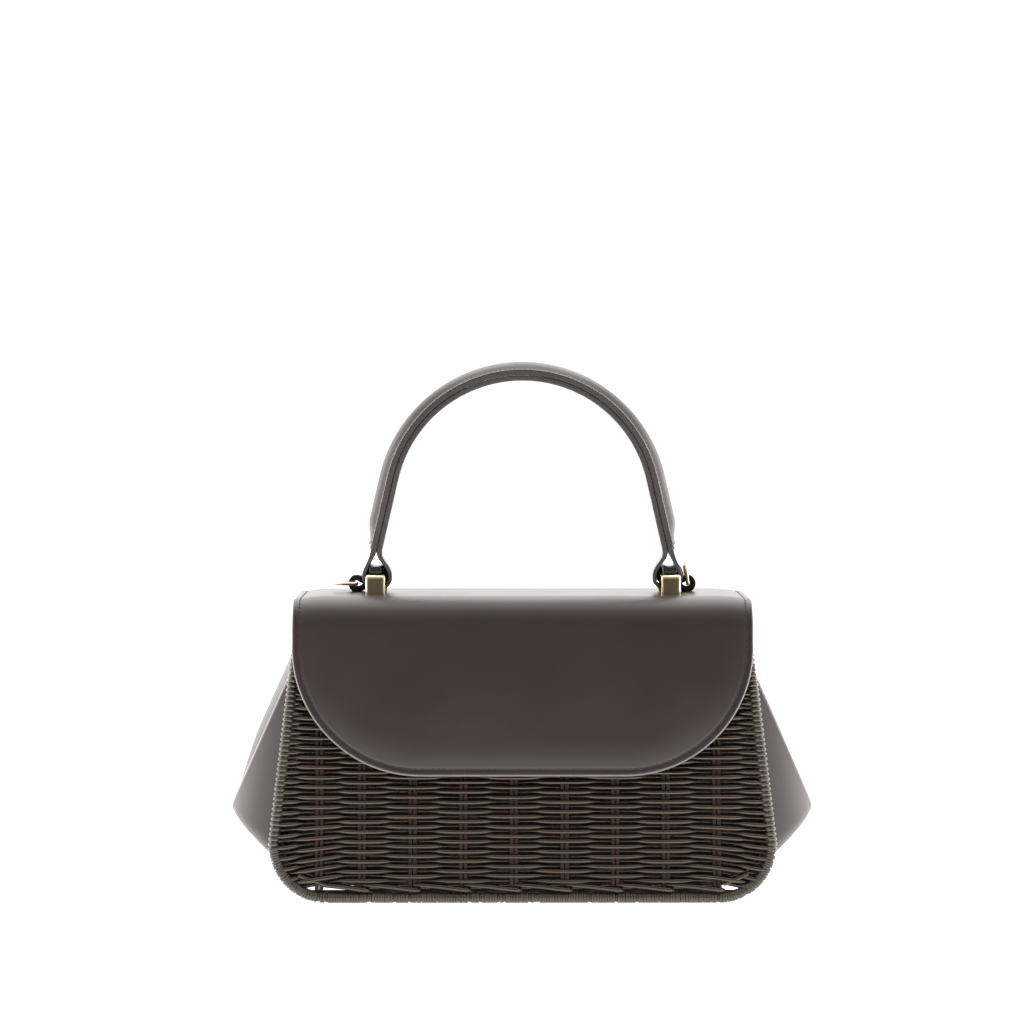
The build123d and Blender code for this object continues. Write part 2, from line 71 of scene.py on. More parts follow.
LEAN_IN, LEAN_UP = 19.0, 135.4  # Each panel leans in by the first over a height of the second.
LEAN = math.atan(LEAN_IN / LEAN_UP)
WHITE = (1.0, 1.0, 1.0, 1.0)
Point2 = tuple[float, float]
Colour = tuple[float, float, float]
Station = tuple[Vector, Vector, Vector]
Piece = bpy.types.Object
Socket = bpy.types.NodeSocket
Tree = bpy.types.NodeTree


# ------------------------------------------------------------------ small geometry helpers
def lerp(a: float, b: float, t: float) -> float:
    """The value a share t of the way from a to b."""
    return a + (b - a) * t


def clamp(value: float, low: float = 0.0, high: float = 1.0) -> float:
    """The value, held between low and high."""
    return max(low, min(high, value))


def smooth(value: float) -> float:
    """A soft step from 0 to 1."""
    t = clamp(value)
    return t * t * (3 - 2 * t)


def soft_min(a: float, b: float, radius: float) -> float:
    """The smaller of two heights, with a rounded join between them."""
    h = clamp(0.5 + 0.5 * (b - a) / radius)
    return lerp(b, a, h) - radius * h * (1 - h)


def arc(centre: Point2, radius: float, start: float, end: float, steps: int) -> list[Point2]:
    """Points on an arc.

    Args:
        centre: The arc's centre.
        radius: Its radius.
        start: First angle in degrees.
        end: Last angle in degrees.
        steps: Number of spans.

    Returns:
        The points, both ends included.
    """
    points = []
    for i in range(steps + 1):
        angle = math.radians(lerp(start, end, i / steps))
        points.append((centre[0] + radius * math.cos(angle), centre[1] + radius * math.sin(angle)))
    return points


def quarter(radius: float, away: float) -> float:
    """Height of a circle over a point of its diameter, and 0 outside it."""
    return math.sqrt(max(0.0, radius**2 - away**2))


def rounded_line(
    corners: Sequence[Point2], radii: Sequence[float], closed: bool, steps: int = 10
) -> list[Point2]:
    """A line through corners, each rounded by its own radius.

    Args:
        corners: The sharp corners.
        radii: One radius for each corner; an open line's end corners ignore theirs.
        closed: Whether the last corner joins the first.
        steps: Spans in each rounding.

    Returns:
        The points of the rounded line.
    """
    out: list[Point2] = []
    count = len(corners)
    for i, (corner, radius) in enumerate(zip(corners, radii)):
        if not closed and i in (0, count - 1):
            out.append(corner)
            continue
        here = Vector(corner)
        back = (Vector(corners[i - 1]) - here).normalized()
        ahead = (Vector(corners[(i + 1) % count]) - here).normalized()
        half = back.angle(ahead) / 2
        reach = radius / math.tan(half)
        middle = here + (back + ahead).normalized() * (radius / math.sin(half))
        first = here + back * reach - middle
        last = here + ahead * reach - middle
        turn = first.angle_signed(last)
        for k in range(steps + 1):
            angle = -turn * k / steps
            spun = Vector((
                first.x * math.cos(angle) - first.y * math.sin(angle),
                first.x * math.sin(angle) + first.y * math.cos(angle),
            ))
            out.append(tuple(middle + spun))
    return out


def evenly(points: Sequence[Point2], step: float, closed: bool = False) -> list[Point2]:
    """The same line with points a fixed distance apart.

    Args:
        points: The line's points.
        step: Wanted spacing.
        closed: Whether the last point joins the first.

    Returns:
        The new points; a closed line leaves out the repeated first point.
    """
    loop = list(points) + ([points[0]] if closed else [])
    lengths = [0.0]
    for a, b in zip(loop, loop[1:]):
        lengths.append(lengths[-1] + math.dist(a, b))
    count = max(2, round(lengths[-1] / step))
    out = []
    k = 0
    for i in range(count + (0 if closed else 1)):
        want = lengths[-1] * i / count
        while k < len(loop) - 2 and lengths[k + 1] < want:
            k += 1
        span = lengths[k + 1] - lengths[k]
        share = (want - lengths[k]) / span if span > 0 else 0.0
        out.append(tuple(lerp(a, b, share) for a, b in zip(loop[k], loop[k + 1])))
    return out


def relax(
    points: list[Point2], rounds: int, keep: Callable[[Point2], bool] = lambda point: False
) -> list[Point2]:
    """Smooth a closed line where it isn't to be kept.

    Args:
        points: The closed line's points.
        rounds: How many times each point moves to its neighbours' middle.
        keep: Says which points stay where they are; none do if it is left out.

    Returns:
        The smoothed points.
    """
    for _ in range(rounds):
        moved = []
        for i, here in enumerate(points):
            if keep(here):
                moved.append(here)
                continue
            a, b = points[i - 1], points[(i + 1) % len(points)]
            moved.append(tuple((p + 2 * q + r) / 4 for p, q, r in zip(a, here, b)))
        points = moved
    return points


def new_object(name: str, data: bpy.types.ID) -> Piece:
    """Make an object and link it to the scene.

    Args:
        name: Name of the object.
        data: Its mesh, curve, lamp or camera.

    Returns:
        The new object.
    """
    made = bpy.data.objects.new(name, data)
    bpy.context.collection.objects.link(made)
    return made


def mesh_piece(
    name: str,
    vertices: Sequence[Sequence[float]],
    faces: Sequence[Sequence[int]],
    materials: Sequence[bpy.types.Material],
    face_material: Optional[Sequence[int]] = None,
) -> Piece:
    """A smooth-shaded mesh object at the origin.

    Args:
        name: Name of the object.
        vertices: Places in metres.
        faces: Corner numbers of each face.
        materials: The mesh's materials.
        face_material: Index of each face's material; all use the first if left out.

    Returns:
        The new object.
    """
    mesh = bpy.data.meshes.new(name)
    mesh.from_pydata([tuple(v) for v in vertices], [], [tuple(f) for f in faces])
    for material in materials:
        mesh.materials.append(material)
    if face_material is not None:
        mesh.polygons.foreach_set("material_index", list(face_material))
    mesh.polygons.foreach_set("use_smooth", [True] * len(mesh.polygons))
    mesh.update()
    return new_object(name, mesh)


def point_values(piece: Piece, name: str, values: Sequence[float]) -> None:
    """Store one number at each vertex, which materials read by name."""
    store = piece.data.attributes.new(name, "FLOAT", "POINT")
    store.data.foreach_set("value", list(values))


def baked(piece: Piece) -> Piece:
    """Turn an object and its live modifiers into a plain mesh object of the same name.

    Args:
        piece: The object to replace.

    Returns:
        The new mesh object.
    """
    graph = bpy.context.evaluated_depsgraph_get()
    mesh = bpy.data.meshes.new_from_object(piece.evaluated_get(graph), depsgraph=graph)
    name = piece.name
    bpy.data.objects.remove(piece)
    mesh.name = name
    return new_object(name, mesh)


def join(name: str, pieces: Sequence[Piece]) -> Piece:
    """Join mesh objects that share their materials into one.

    Args:
        name: Name of the joined object.
        pieces: What to join.

    Returns:
        The joined object.
    """
    first = pieces[0]
    with bpy.context.temp_override(active_object=first, selected_editable_objects=list(pieces)):
        bpy.ops.object.join()
    first.name = name
    first.data.name = name
    return first


def poly_curve(name: str, lines: Iterable[Sequence[Vector]], closed: bool = False) -> Piece:
    """A curve object of straight-run splines.

    Args:
        name: Name of the object.
        lines: The points of each spline.
        closed: Whether the splines are loops.

    Returns:
        The curve object.
    """
    data = bpy.data.curves.new(name, "CURVE")
    data.dimensions = "3D"
    for points in lines:
        spline = data.splines.new("POLY")
        spline.points.add(len(points) - 1)
        spline.points.foreach_set("co", [c for p in points for c in (p[0], p[1], p[2], 1.0)])
        spline.use_cyclic_u = closed
    return new_object(name, data)


def swept(
    name: str,
    stations: Sequence[Station],
    section: Callable[[int], Sequence[Point2]],
    materials: Sequence[bpy.types.Material],
    closed: bool = False,
) -> Piece:
    """A closed section carried along stations.

    Args:
        name: Name of the piece.
        stations: Place, first direction and second direction of each section.
        section: Gives the section's points at a station, in those two directions.
        materials: The piece's materials.
        closed: Whether the last station joins the first.

    Returns:
        The new object, closed at its ends.
    """
    vertices: list[Vector] = []
    faces: list[list[int]] = []
    ring = len(section(0))
    for i, (place, first, second) in enumerate(stations):
        vertices += [place + first * a + second * b for a, b in section(i)]
    count = len(stations)
    for i in range(count if closed else count - 1):
        low, high = i * ring, ((i + 1) % count) * ring
        faces += band_faces(range(low, low + ring), range(high, high + ring))
    if not closed:
        faces.append(list(range(ring))[::-1])
        faces.append([(count - 1) * ring + k for k in range(ring)])
    piece = mesh_piece(name, vertices, faces, materials)
    face_outwards(piece)
    return piece


def band_faces(upper: Sequence[int], lower: Sequence[int]) -> list[list[int]]:
    """Faces between two closed rings of as many points."""
    count = len(upper)
    return [[upper[i], upper[(i + 1) % count], lower[(i + 1) % count], lower[i]] for i in range(count)]


def sheet_faces(wide: int, tall: int) -> list[list[int]]:
    """Faces of two equal grids of points that look away from each other.

    Args:
        wide: Columns in each grid.
        tall: Points in each column.

    Returns:
        The faces; the second grid's points follow the first grid's.
    """
    count = wide * tall
    faces = []
    for i in range(wide - 1):
        for j in range(tall - 1):
            a = i * tall + j
            faces.append([a, a + 1, a + tall + 1, a + tall])
            faces.append([count + a, count + a + tall, count + a + tall + 1, count + a + 1])
    return faces


def border(wide: int, tall: int) -> list[int]:
    """The points round a grid's edge.

    Args:
        wide: Columns in the grid.
        tall: Points in each column.

    Returns:
        Their numbers, in order round the edge.
    """
    rim = [i * tall for i in range(wide)]
    rim += [(wide - 1) * tall + j for j in range(1, tall)]
    rim += [i * tall + tall - 1 for i in range(wide - 2, -1, -1)]
    return rim + list(range(tall - 2, 0, -1))


def face_outwards(piece: Piece) -> None:
    """Turn a closed mesh right side out, by the sign of its volume.

    Args:
        piece: The object to turn.
    """
    mesh = piece.data
    mesh.calc_loop_triangles()
    points = [v.co for v in mesh.vertices]
    volume = 0.0
    for triangle in mesh.loop_triangles:
        a, b, c = (points[i] for i in triangle.vertices)
        volume += a.dot(b.cross(c))
    if volume < 0:
        mesh.flip_normals()


def planar_stations(line: Sequence[Point2], depth: float, closed: bool) -> list[Station]:
    """Stations along a line seen from the front, with sections spread over the depth.

    Args:
        line: Points as (x, z).
        depth: The y of the line's plane.
        closed: Whether the line is a loop.

    Returns:
        Place, outward direction in the plane and the +Y direction for each point.
    """
    out = []
    count = len(line)
    for i, (x, z) in enumerate(line):
        a = line[i - 1] if closed or i else line[0]
        b = line[(i + 1) % count] if closed or i < count - 1 else line[-1]
        along = Vector((b[0] - a[0], 0.0, b[1] - a[1])).normalized()
        outward = Vector((-along.z, 0.0, along.x))
        out.append((Vector((x, depth, z)), outward, Vector((0.0, 1.0, 0.0))))
    return out


def bar_section(half_a: float, half_b: float, outer: float, inner: float, steps: int) -> list[Point2]:
    """A rectangle with rounded corners, centred on the station."""
    corners = [(half_a, -half_b), (half_a, half_b), (-half_a, half_b), (-half_a, -half_b)]
    return rounded_line(corners, [outer, outer, inner, inner], True, steps)


def joint_place(name: str) -> Sequence[float]:
    """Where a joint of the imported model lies."""
    return next(joint for joint in frame["joints"] if joint["name"] == name)["pos_m"]


# ------------------------------------------------------------------ node helpers
class TreeMaker:
    """Adds nodes to a tree with short calls."""

    def __init__(self, tree: Tree) -> None:
        """Work on an existing tree."""
        self.tree = tree

    @classmethod
    def group(cls, name: str, kind: str) -> "TreeMaker":
        """Start an empty node group.

        Args:
            name: Name of the group.
            kind: GeometryNodeTree or ShaderNodeTree.

        Returns:
            Its maker.
        """
        maker = cls(bpy.data.node_groups.new(name, kind))
        maker.entry = maker.tree.nodes.new("NodeGroupInput")
        maker.exit = maker.tree.nodes.new("NodeGroupOutput")
        return maker

    def takes(self, name: str, value: object = None) -> Socket:
        """Add a named input.

        Args:
            name: Name of the input, and its kind if it has no default value.
            value: Its default value, whose type gives its kind.

        Returns:
            Its socket inside the tree.
        """
        kind = {float: "Float", int: "Int", tuple: "Vector"}.get(type(value), name)
        socket = self.tree.interface.new_socket(name=name, in_out="INPUT", socket_type=f"NodeSocket{kind}")
        if value is not None:
            socket.default_value = value
        return self.entry.outputs[name]

    def gives(self, name: str, kind: str, source: Socket) -> None:
        """Add a named output, fed from a socket."""
        self.tree.interface.new_socket(name=name, in_out="OUTPUT", socket_type=f"NodeSocket{kind}")
        self.tree.links.new(source, self.exit.inputs[name])

    def shader_effect(self, height: Socket, tone: Socket) -> Tree:
        """End a shader effect in its height and its tone.

        Args:
            height: Height of the relief.
            tone: What the colour and the roughness follow.

        Returns:
            The tree.
        """
        self.gives("Height", "Float", height)
        self.gives("Tone", "Float", tone)
        return self.tree

    def solid(self, shape: Socket, finish: Socket) -> Tree:
        """End a geometry tree in real, finished geometry.

        Args:
            shape: The geometry, which may hold instances.
            finish: Its material.

        Returns:
            The tree.
        """
        real = self.out("GeometryNodeRealizeInstances", _0=shape)
        self.gives("Geometry", "Geometry", self.out("GeometryNodeSetMaterial", _0=real, Material=finish))
        return self.tree

    def node(self, kind: str, settings: Optional[dict] = None, **inputs: object) -> bpy.types.Node:
        """Add a node, set its properties and feed its inputs.

        Args:
            kind: The node's type.
            settings: Its plain properties.
            **inputs: Values or sockets for its inputs, by name with _ for spaces, or by _number.

        Returns:
            The node.
        """
        made = self.tree.nodes.new(kind)
        for key, value in (settings or {}).items():
            setattr(made, key, value)
        for key, value in inputs.items():
            socket = made.inputs[int(key[1:])] if key[0] == "_" else made.inputs[key.replace("_", " ")]
            self.feed(socket, value)
        return made

    def feed(self, socket: Socket, value: object) -> None:
        """Give an input a value, or link it to the socket that is given.

        Args:
            socket: The input.
            value: A plain value or another node's output.
        """
        if isinstance(value, Socket):
            self.tree.links.new(value, socket)
        else:
            socket.default_value = value

    def out(self, kind: str, settings: Optional[dict] = None, **inputs: object) -> Socket:
        """Add a node, as node() does, and return its first output."""
        return self.node(kind, settings, **inputs).outputs[0]

    def math(self, operation: str, a: object, b: object = 0.0) -> Socket:
        """One sum on two values or sockets."""
        return self.out("ShaderNodeMath", {"operation": operation}, _0=a, _1=b)


def run_tree(piece: Piece, tree: Tree, **values: object) -> Piece:
    """Run a geometry tree on an object and keep the result as a plain mesh.

    Args:
        piece: The object that feeds the tree.
        tree: The geometry tree.
        **values: The tree's inputs by name, with _ for spaces.

    Returns:
        The resulting mesh object.
    """
    modifier = piece.modifiers.new("build", "NODES")
    modifier.node_group = tree
    for item in tree.interface.items_tree:
        key = item.name.replace(" ", "_")
        if item.item_type == "SOCKET" and item.in_out == "INPUT" and key in values:
            modifier[item.identifier] = values[key]
    result = baked(piece)
    result.data.polygons.foreach_set("use_smooth", [True] * len(result.data.polygons))
    return result


class Repeats:
    """The geometry trees that lay out what repeats: canes, windings and stitches."""

    def __init__(self) -> None:
        """Build each tree once."""
        self.cane = self._cane()
        self.winding = self._winding()
        self.stitches = self._stitches()

    @staticmethod
    def _cane() -> Tree:
        """A round rod of cane along every spline.

        Returns:
            The geometry tree.
        """
        t = TreeMaker.group("cane_rod", "GeometryNodeTree")
        line = t.takes("Geometry")
        radius = t.takes("Radius", 0.001)
        sides = t.takes("Sides", 8)
        finish = t.takes("Material")
        ring = t.out("GeometryNodeCurvePrimitiveCircle", Resolution=sides, Radius=radius)
        rod = t.out("GeometryNodeCurveToMesh", _0=line, Profile_Curve=ring, Fill_Caps=True)
        return t.solid(rod, finish)

    @staticmethod
    def _winding() -> Tree:
        """Turns of fine cane, side by side round a rod, each a little askew.

        Returns:
            The geometry tree.
        """
        t = TreeMaker.group("cane_winding", "GeometryNodeTree")
        line = t.takes("Geometry")
        pitch = t.takes("Pitch", 0.00125)
        core = t.takes("Core", 0.00175)
        cane = t.takes("Cane", 0.0006)
        slant = t.takes("Slant", 0.1)
        seed = t.takes("Seed", 1)
        finish = t.takes("Material")
        pinched = t.takes("Pinched", 0.07)
        spread = t.out("GeometryNodeResampleCurve", {"mode": "LENGTH"}, _0=line, Length=pitch)
        plain_number = {"data_type": "FLOAT"}
        draw = t.node("FunctionNodeRandomValue", plain_number, _2=0.0, _3=1.0, Seed=seed).outputs[1]
        pinch = t.math("MULTIPLY", t.math("LESS_THAN", draw, pinched), -0.13)
        turn_r = t.math("ADD", core, cane)
        turn = t.out("GeometryNodeCurvePrimitiveCircle", Resolution=18, Radius=turn_r)
        cut = t.out("GeometryNodeCurvePrimitiveCircle", Resolution=6, Radius=cane)
        ring = t.out("GeometryNodeCurveToMesh", _0=turn, Profile_Curve=cut)
        along = t.out("GeometryNodeInputTangent")
        facing = t.out("FunctionNodeAlignRotationToVector", {"axis": "Z"}, Vector=along)
        other_way = t.math("MULTIPLY", slant, -1.0)
        low = t.out("ShaderNodeCombineXYZ", X=other_way, Y=other_way)
        high = t.out("ShaderNodeCombineXYZ", X=slant, Y=slant)
        vector = {"data_type": "FLOAT_VECTOR"}
        chance = t.out("FunctionNodeRandomValue", vector, _0=low, _1=high, Seed=seed)
        askew = t.out("FunctionNodeEulerToRotation", _0=chance)
        turned = t.out("FunctionNodeRotateRotation", {"rotation_space": "LOCAL"}, _0=facing, _1=askew)
        plain = t.node("FunctionNodeRandomValue", plain_number, _2=0.985, _3=1.01, Seed=seed).outputs[1]
        size = t.math("ADD", plain, pinch)
        placed = t.out(
            "GeometryNodeInstanceOnPoints", Points=spread, Instance=ring, Rotation=turned, Scale=size
        )
        return t.solid(placed, finish)

    @staticmethod
    def _stitches() -> Tree:
        """Short thread stitches laid end to end along every spline.

        Returns:
            The geometry tree.
        """
        t = TreeMaker.group("thread_stitches", "GeometryNodeTree")
        line = t.takes("Geometry")
        pitch = t.takes("Pitch", 0.0028)
        thread = t.takes("Thread", 0.0003)
        finish = t.takes("Material")
        spread = t.out("GeometryNodeResampleCurve", {"mode": "LENGTH"}, _0=line, Length=pitch)
        bead = t.out("GeometryNodeMeshUVSphere", Segments=8, Rings=6, Radius=1.0)
        half = t.math("MULTIPLY", pitch, 0.42)
        size = t.out("ShaderNodeCombineXYZ", X=half, Y=thread, Z=thread)
        along = t.out("GeometryNodeInputTangent")
        facing = t.out("FunctionNodeAlignRotationToVector", {"axis": "X"}, Vector=along)
        placed = t.out(
            "GeometryNodeInstanceOnPoints", Points=spread, Instance=bead, Rotation=facing, Scale=size
        )
        return t.solid(placed, finish)


# ------------------------------------------------------------------ finishes
class Effects:
    """Shader effects that several finishes share, each built once as a node group."""

    def __init__(self) -> None:
        """Build the groups."""
        self.grain = self._grain()
        self.fibres = self._fibres()
        self.cloth = self._cloth()

    @staticmethod
    def _grain() -> Tree:
        """Fine leather pores over slow, soft unevenness of tone.

        Returns:
            The shader group.
        """
        t = TreeMaker.group("leather_grain", "ShaderNodeTree")
        pores = t.takes("Pores", 1500.0)
        patches = t.takes("Patches", 22.0)
        place = t.node("ShaderNodeTexCoord").outputs["Object"]
        cells = t.node("ShaderNodeTexVoronoi", {"feature": "SMOOTH_F1"}, Vector=place, Scale=pores)
        wider = t.math("MULTIPLY", pores, 0.35)
        fine = t.out("ShaderNodeTexNoise", Vector=place, Scale=wider, Detail=3.0)
        slow = t.out("ShaderNodeTexNoise", Vector=place, Scale=patches, Detail=4.0, Roughness=0.55)
        deep = t.math("MULTIPLY", cells.outputs["Distance"], 0.6)
        return t.shader_effect(t.math("ADD", deep, t.math("MULTIPLY", fine, 0.4)), slow)

    @staticmethod
    def _fibres() -> Tree:
        """Long streaks along a cane, with a slower change of colour from cane to cane.

        Returns:
            The shader group.
        """
        t = TreeMaker.group("cane_fibres", "ShaderNodeTree")
        stretch = t.takes("Stretch", (30.0, 900.0, 900.0))
        place = t.node("ShaderNodeTexCoord").outputs["Object"]
        times = {"operation": "MULTIPLY"}
        drawn = t.out("ShaderNodeVectorMath", times, _0=place, _1=stretch)
        streaks = t.out("ShaderNodeTexNoise", Vector=drawn, Scale=1.0, Detail=3.0)
        slow = t.out("ShaderNodeVectorMath", times, _0=place, _1=(45.0, 420.0, 420.0))
        tone = t.out("ShaderNodeTexNoise", Vector=slow, Scale=1.0, Detail=1.0)
        return t.shader_effect(streaks, tone)

    @staticmethod
    def _cloth() -> Tree:
        """A fine diagonal weave.

        Returns:
            The shader group.
        """
        t = TreeMaker.group("cloth_twill", "ShaderNodeTree")
        threads = t.takes("Threads", 2600.0)
        place = t.node("ShaderNodeTexCoord").outputs["Object"]
        ribs = t.node(
            "ShaderNodeTexWave", {"wave_type": "BANDS", "bands_direction": "DIAGONAL"},
            Vector=place, Scale=t.math("MULTIPLY", threads, 0.1), Distortion=1.2, Detail=1.0,
        ).outputs[1]
        coarse = t.math("MULTIPLY", threads, 0.3)
        slub = t.out("ShaderNodeTexNoise", Vector=place, Scale=coarse, Detail=2.0)
        return t.shader_effect(t.math("ADD", ribs, t.math("MULTIPLY", slub, 0.4)), slub)


def new_material(name: str) -> tuple[bpy.types.Material, TreeMaker, bpy.types.Node]:
    """Start a material.

    Args:
        name: Name of the material.

    Returns:
        The material, a maker for its nodes, and its shader.
    """
    material = bpy.data.materials.new(name)
    material.use_nodes = True
    tree = material.node_tree
    return material, TreeMaker(tree), tree.nodes["Principled BSDF"]


class Texture(Enum):
    """Which shared effect a finish takes its relief and tone from."""

    GRAIN = "grain"
    FIBRES = "fibres"
    CLOTH = "cloth"


@dataclass(frozen=True)
class Finish:
    """One surface finish."""

    name: str
    deep: Colour
    light: Colour
    roughness: Point2
    texture: Texture
    relief: float = 0.1
    relief_m: float = 0.0002
    metallic: float = 0.0
    coat: float = 0.0
    sheen: float = 0.0
    specular: float = 0.5
    tint: Colour = (1.0, 1.0, 1.0)
    scale: dict = field(default_factory=dict)
    # Pale colour mixed in where a mesh's stored mask says: a painted highlight on creases and edges, for the
    # light they catch.
    painted_highlight_colour: Optional[Colour] = None

    def build(self, effects: Effects) -> bpy.types.Material:
        """Make the material.

        Args:
            effects: The shared node groups.

        Returns:
            The new material.
        """
        material, t, shader = new_material(self.name)
        effect = t.node("ShaderNodeGroup", {"node_tree": getattr(effects, self.texture.value)}, **self.scale)
        tone, mix = effect.outputs["Tone"], {"data_type": "RGBA"}
        deep, light = (*self.deep, 1.0), (*self.light, 1.0)
        colour = t.node("ShaderNodeMix", mix, _0=tone, _6=deep, _7=light).outputs[2]
        # Painted highlight: the colour goes to the pale tone where the mesh's stored mask is high.
        if self.painted_highlight_colour:
            rub = t.node("ShaderNodeAttribute", {"attribute_name": "rub"}).outputs["Fac"]
            colour = t.node("ShaderNodeMix", mix, _0=rub, _6=colour, _7=(*self.painted_highlight_colour, 1.0)).outputs[2]
        rough = t.out(
            "ShaderNodeMapRange", Value=tone,
            From_Min=0.3, From_Max=0.7, To_Min=self.roughness[0], To_Max=self.roughness[1],
        )
        height = effect.outputs["Height"]
        bump = t.out("ShaderNodeBump", Strength=self.relief, Distance=self.relief_m, Height=height)
        looks = {
            "Base Color": colour, "Roughness": rough, "Normal": bump, "Metallic": self.metallic,
            "Coat Weight": self.coat, "Coat Roughness": 0.25, "Sheen Weight": self.sheen,
            "Specular IOR Level": self.specular, "Specular Tint": (*self.tint, 1.0),
        }
        for key, value in looks.items():
            t.feed(shader.inputs[key], value)
        return material


@dataclass(frozen=True)
class Palette:
    """Every finish on the bag."""

    # The leather's pale second colour is a painted highlight on the gusset creases and along the flap's and
    # the cover's edges.
    leather: Finish = Finish(
        "brown_leather", (0.024, 0.0118, 0.0122), (0.034, 0.0195, 0.0195), (0.38, 0.45), Texture.GRAIN,
        relief=0.12, coat=0.06, painted_highlight_colour=(0.42, 0.38, 0.37),
    )
    # The strap's pale second colour would be a painted highlight too; its mask is zero everywhere, so it
    # never shows.
    strap: Finish = Finish(
        "strap_leather", (0.036, 0.025, 0.024), (0.052, 0.038, 0.036), (0.34, 0.44), Texture.GRAIN,
        relief=0.08, coat=0.25, painted_highlight_colour=(0.16, 0.135, 0.125),
    )
    edge: Finish = Finish(
        "edge_paint", (0.11, 0.092, 0.088), (0.17, 0.145, 0.138), (0.22, 0.30), Texture.GRAIN,
        relief=0.05, coat=0.6,
    )
    strap_edge: Finish = Finish(
        "strap_edge_paint", (0.058, 0.052, 0.051), (0.078, 0.070, 0.069), (0.36, 0.42), Texture.GRAIN,
        relief=0.0, coat=0.1,
    )
    # Near-black leather: on the ring tabs it is painted shade, for they lie in shadow; it also darkens the
    # strap edges along the joint of the plies.
    dark: Finish = Finish(
        "dark_leather", (0.006, 0.005, 0.005), (0.012, 0.010, 0.009), (0.30, 0.42), Texture.GRAIN,
        relief=0.15, coat=0.2,
    )
    cane: Finish = Finish(
        "stained_cane", (0.005, 0.0032, 0.0022), (0.040, 0.020, 0.011), (0.11, 0.24), Texture.FIBRES,
        relief=0.30, relief_m=0.00010, coat=0.25, specular=0.65, tint=(1.0, 0.90, 0.74),
    )
    upright_cane: Finish = Finish(
        "upright_cane", (0.010, 0.005, 0.004), (0.046, 0.020, 0.014), (0.25, 0.42), Texture.FIBRES,
        relief=0.35, relief_m=0.00012, coat=0.1, tint=(1.0, 0.80, 0.66),
        scale={"Stretch": (900.0, 900.0, 30.0)},
    )
    bound_cane: Finish = Finish(
        "bound_cane", (0.020, 0.016, 0.013), (0.068, 0.053, 0.043), (0.24, 0.40), Texture.FIBRES,
        relief=0.3, relief_m=0.0001, coat=0.35, specular=0.75, tint=(1.0, 0.92, 0.78),
        scale={"Stretch": (300.0, 300.0, 300.0)},
    )
    cloth: Finish = Finish(
        "lining_cloth", (0.010, 0.008, 0.0075), (0.020, 0.016, 0.015), (0.80, 0.92), Texture.CLOTH,
        relief=0.5, sheen=0.2, specular=0.2,
    )
    board: Finish = Finish(
        "fibreboard", (0.14, 0.10, 0.07), (0.20, 0.15, 0.11), (0.75, 0.9), Texture.CLOTH, relief=0.4,
    )
    foam: Finish = Finish(
        "foam_cord", (0.010, 0.010, 0.010), (0.018, 0.018, 0.018), (0.8, 0.95), Texture.GRAIN, relief=0.6,
        scale={"Pores": 900.0},
    )
    gold: Finish = Finish(
        "pale_gold", (0.94, 0.73, 0.41), (0.98, 0.84, 0.57), (0.07, 0.11), Texture.GRAIN,
        relief=0.015, metallic=1.0, scale={"Pores": 400.0},
    )
    steel: Finish = Finish(
        "magnet_steel", (0.45, 0.45, 0.46), (0.55, 0.55, 0.56), (0.25, 0.4), Texture.FIBRES,
        relief=0.1, metallic=1.0,
    )
    thread: Finish = Finish(
        "brown_thread", (0.010, 0.007, 0.007), (0.020, 0.014, 0.013), (0.55, 0.7), Texture.CLOTH,
        relief=0.3, sheen=0.2, scale={"Threads": 9000.0},
    )


class Materials:
    """The built materials, by finish name."""

    def __init__(self, palette: Palette) -> None:
        """Build every finish of a palette.

        Args:
            palette: The finishes.
        """
        effects = Effects()
        for key in palette.__dataclass_fields__:
            setattr(self, key, getattr(palette, key).build(effects))


def dress(node: str, material: bpy.types.Material) -> None:
    """Give a kept CAD node a better material.

    Args:
        node: Name of the node.
        material: Its new material.
    """
    piece = frame["nodes"][node]
    for slot in piece.material_slots:
        slot.material = material


# ------------------------------------------------------------------ the two woven panels
class Face(Enum):
    """Which panel: the sign is the panel's side of the middle plane."""

    FRONT = -1
    BACK = 1


@dataclass(frozen=True)
class PanelPlane:
    """A leaning panel's own plane: u across, v up the panel, n outwards."""

    face: Face

    def at(self, u: float, v: float, n: float) -> Vector:
        """The place of a point of the panel.

        Args:
            u: Place across.
            v: Distance up the panel from the bottom rod's axis.
            n: Distance outwards.

        Returns:
            The place.
        """
        up, out = math.cos(LEAN), math.sin(LEAN)
        depth = AXIS_DEPTH - v * out + n * up
        return Vector((u, self.face.value * depth, AXIS_FOOT + v * up + n * out))


def rod_x(z: float) -> float:
    """Half-width of the frame's axis at a height."""
    return AXIS_HALF - AXIS_TAPER * z


def rod_y(z: float) -> float:
    """Distance of the frame's axis from the middle plane at a height."""
    return AXIS_DEPTH - (z - AXIS_FOOT) * LEAN_IN / LEAN_UP


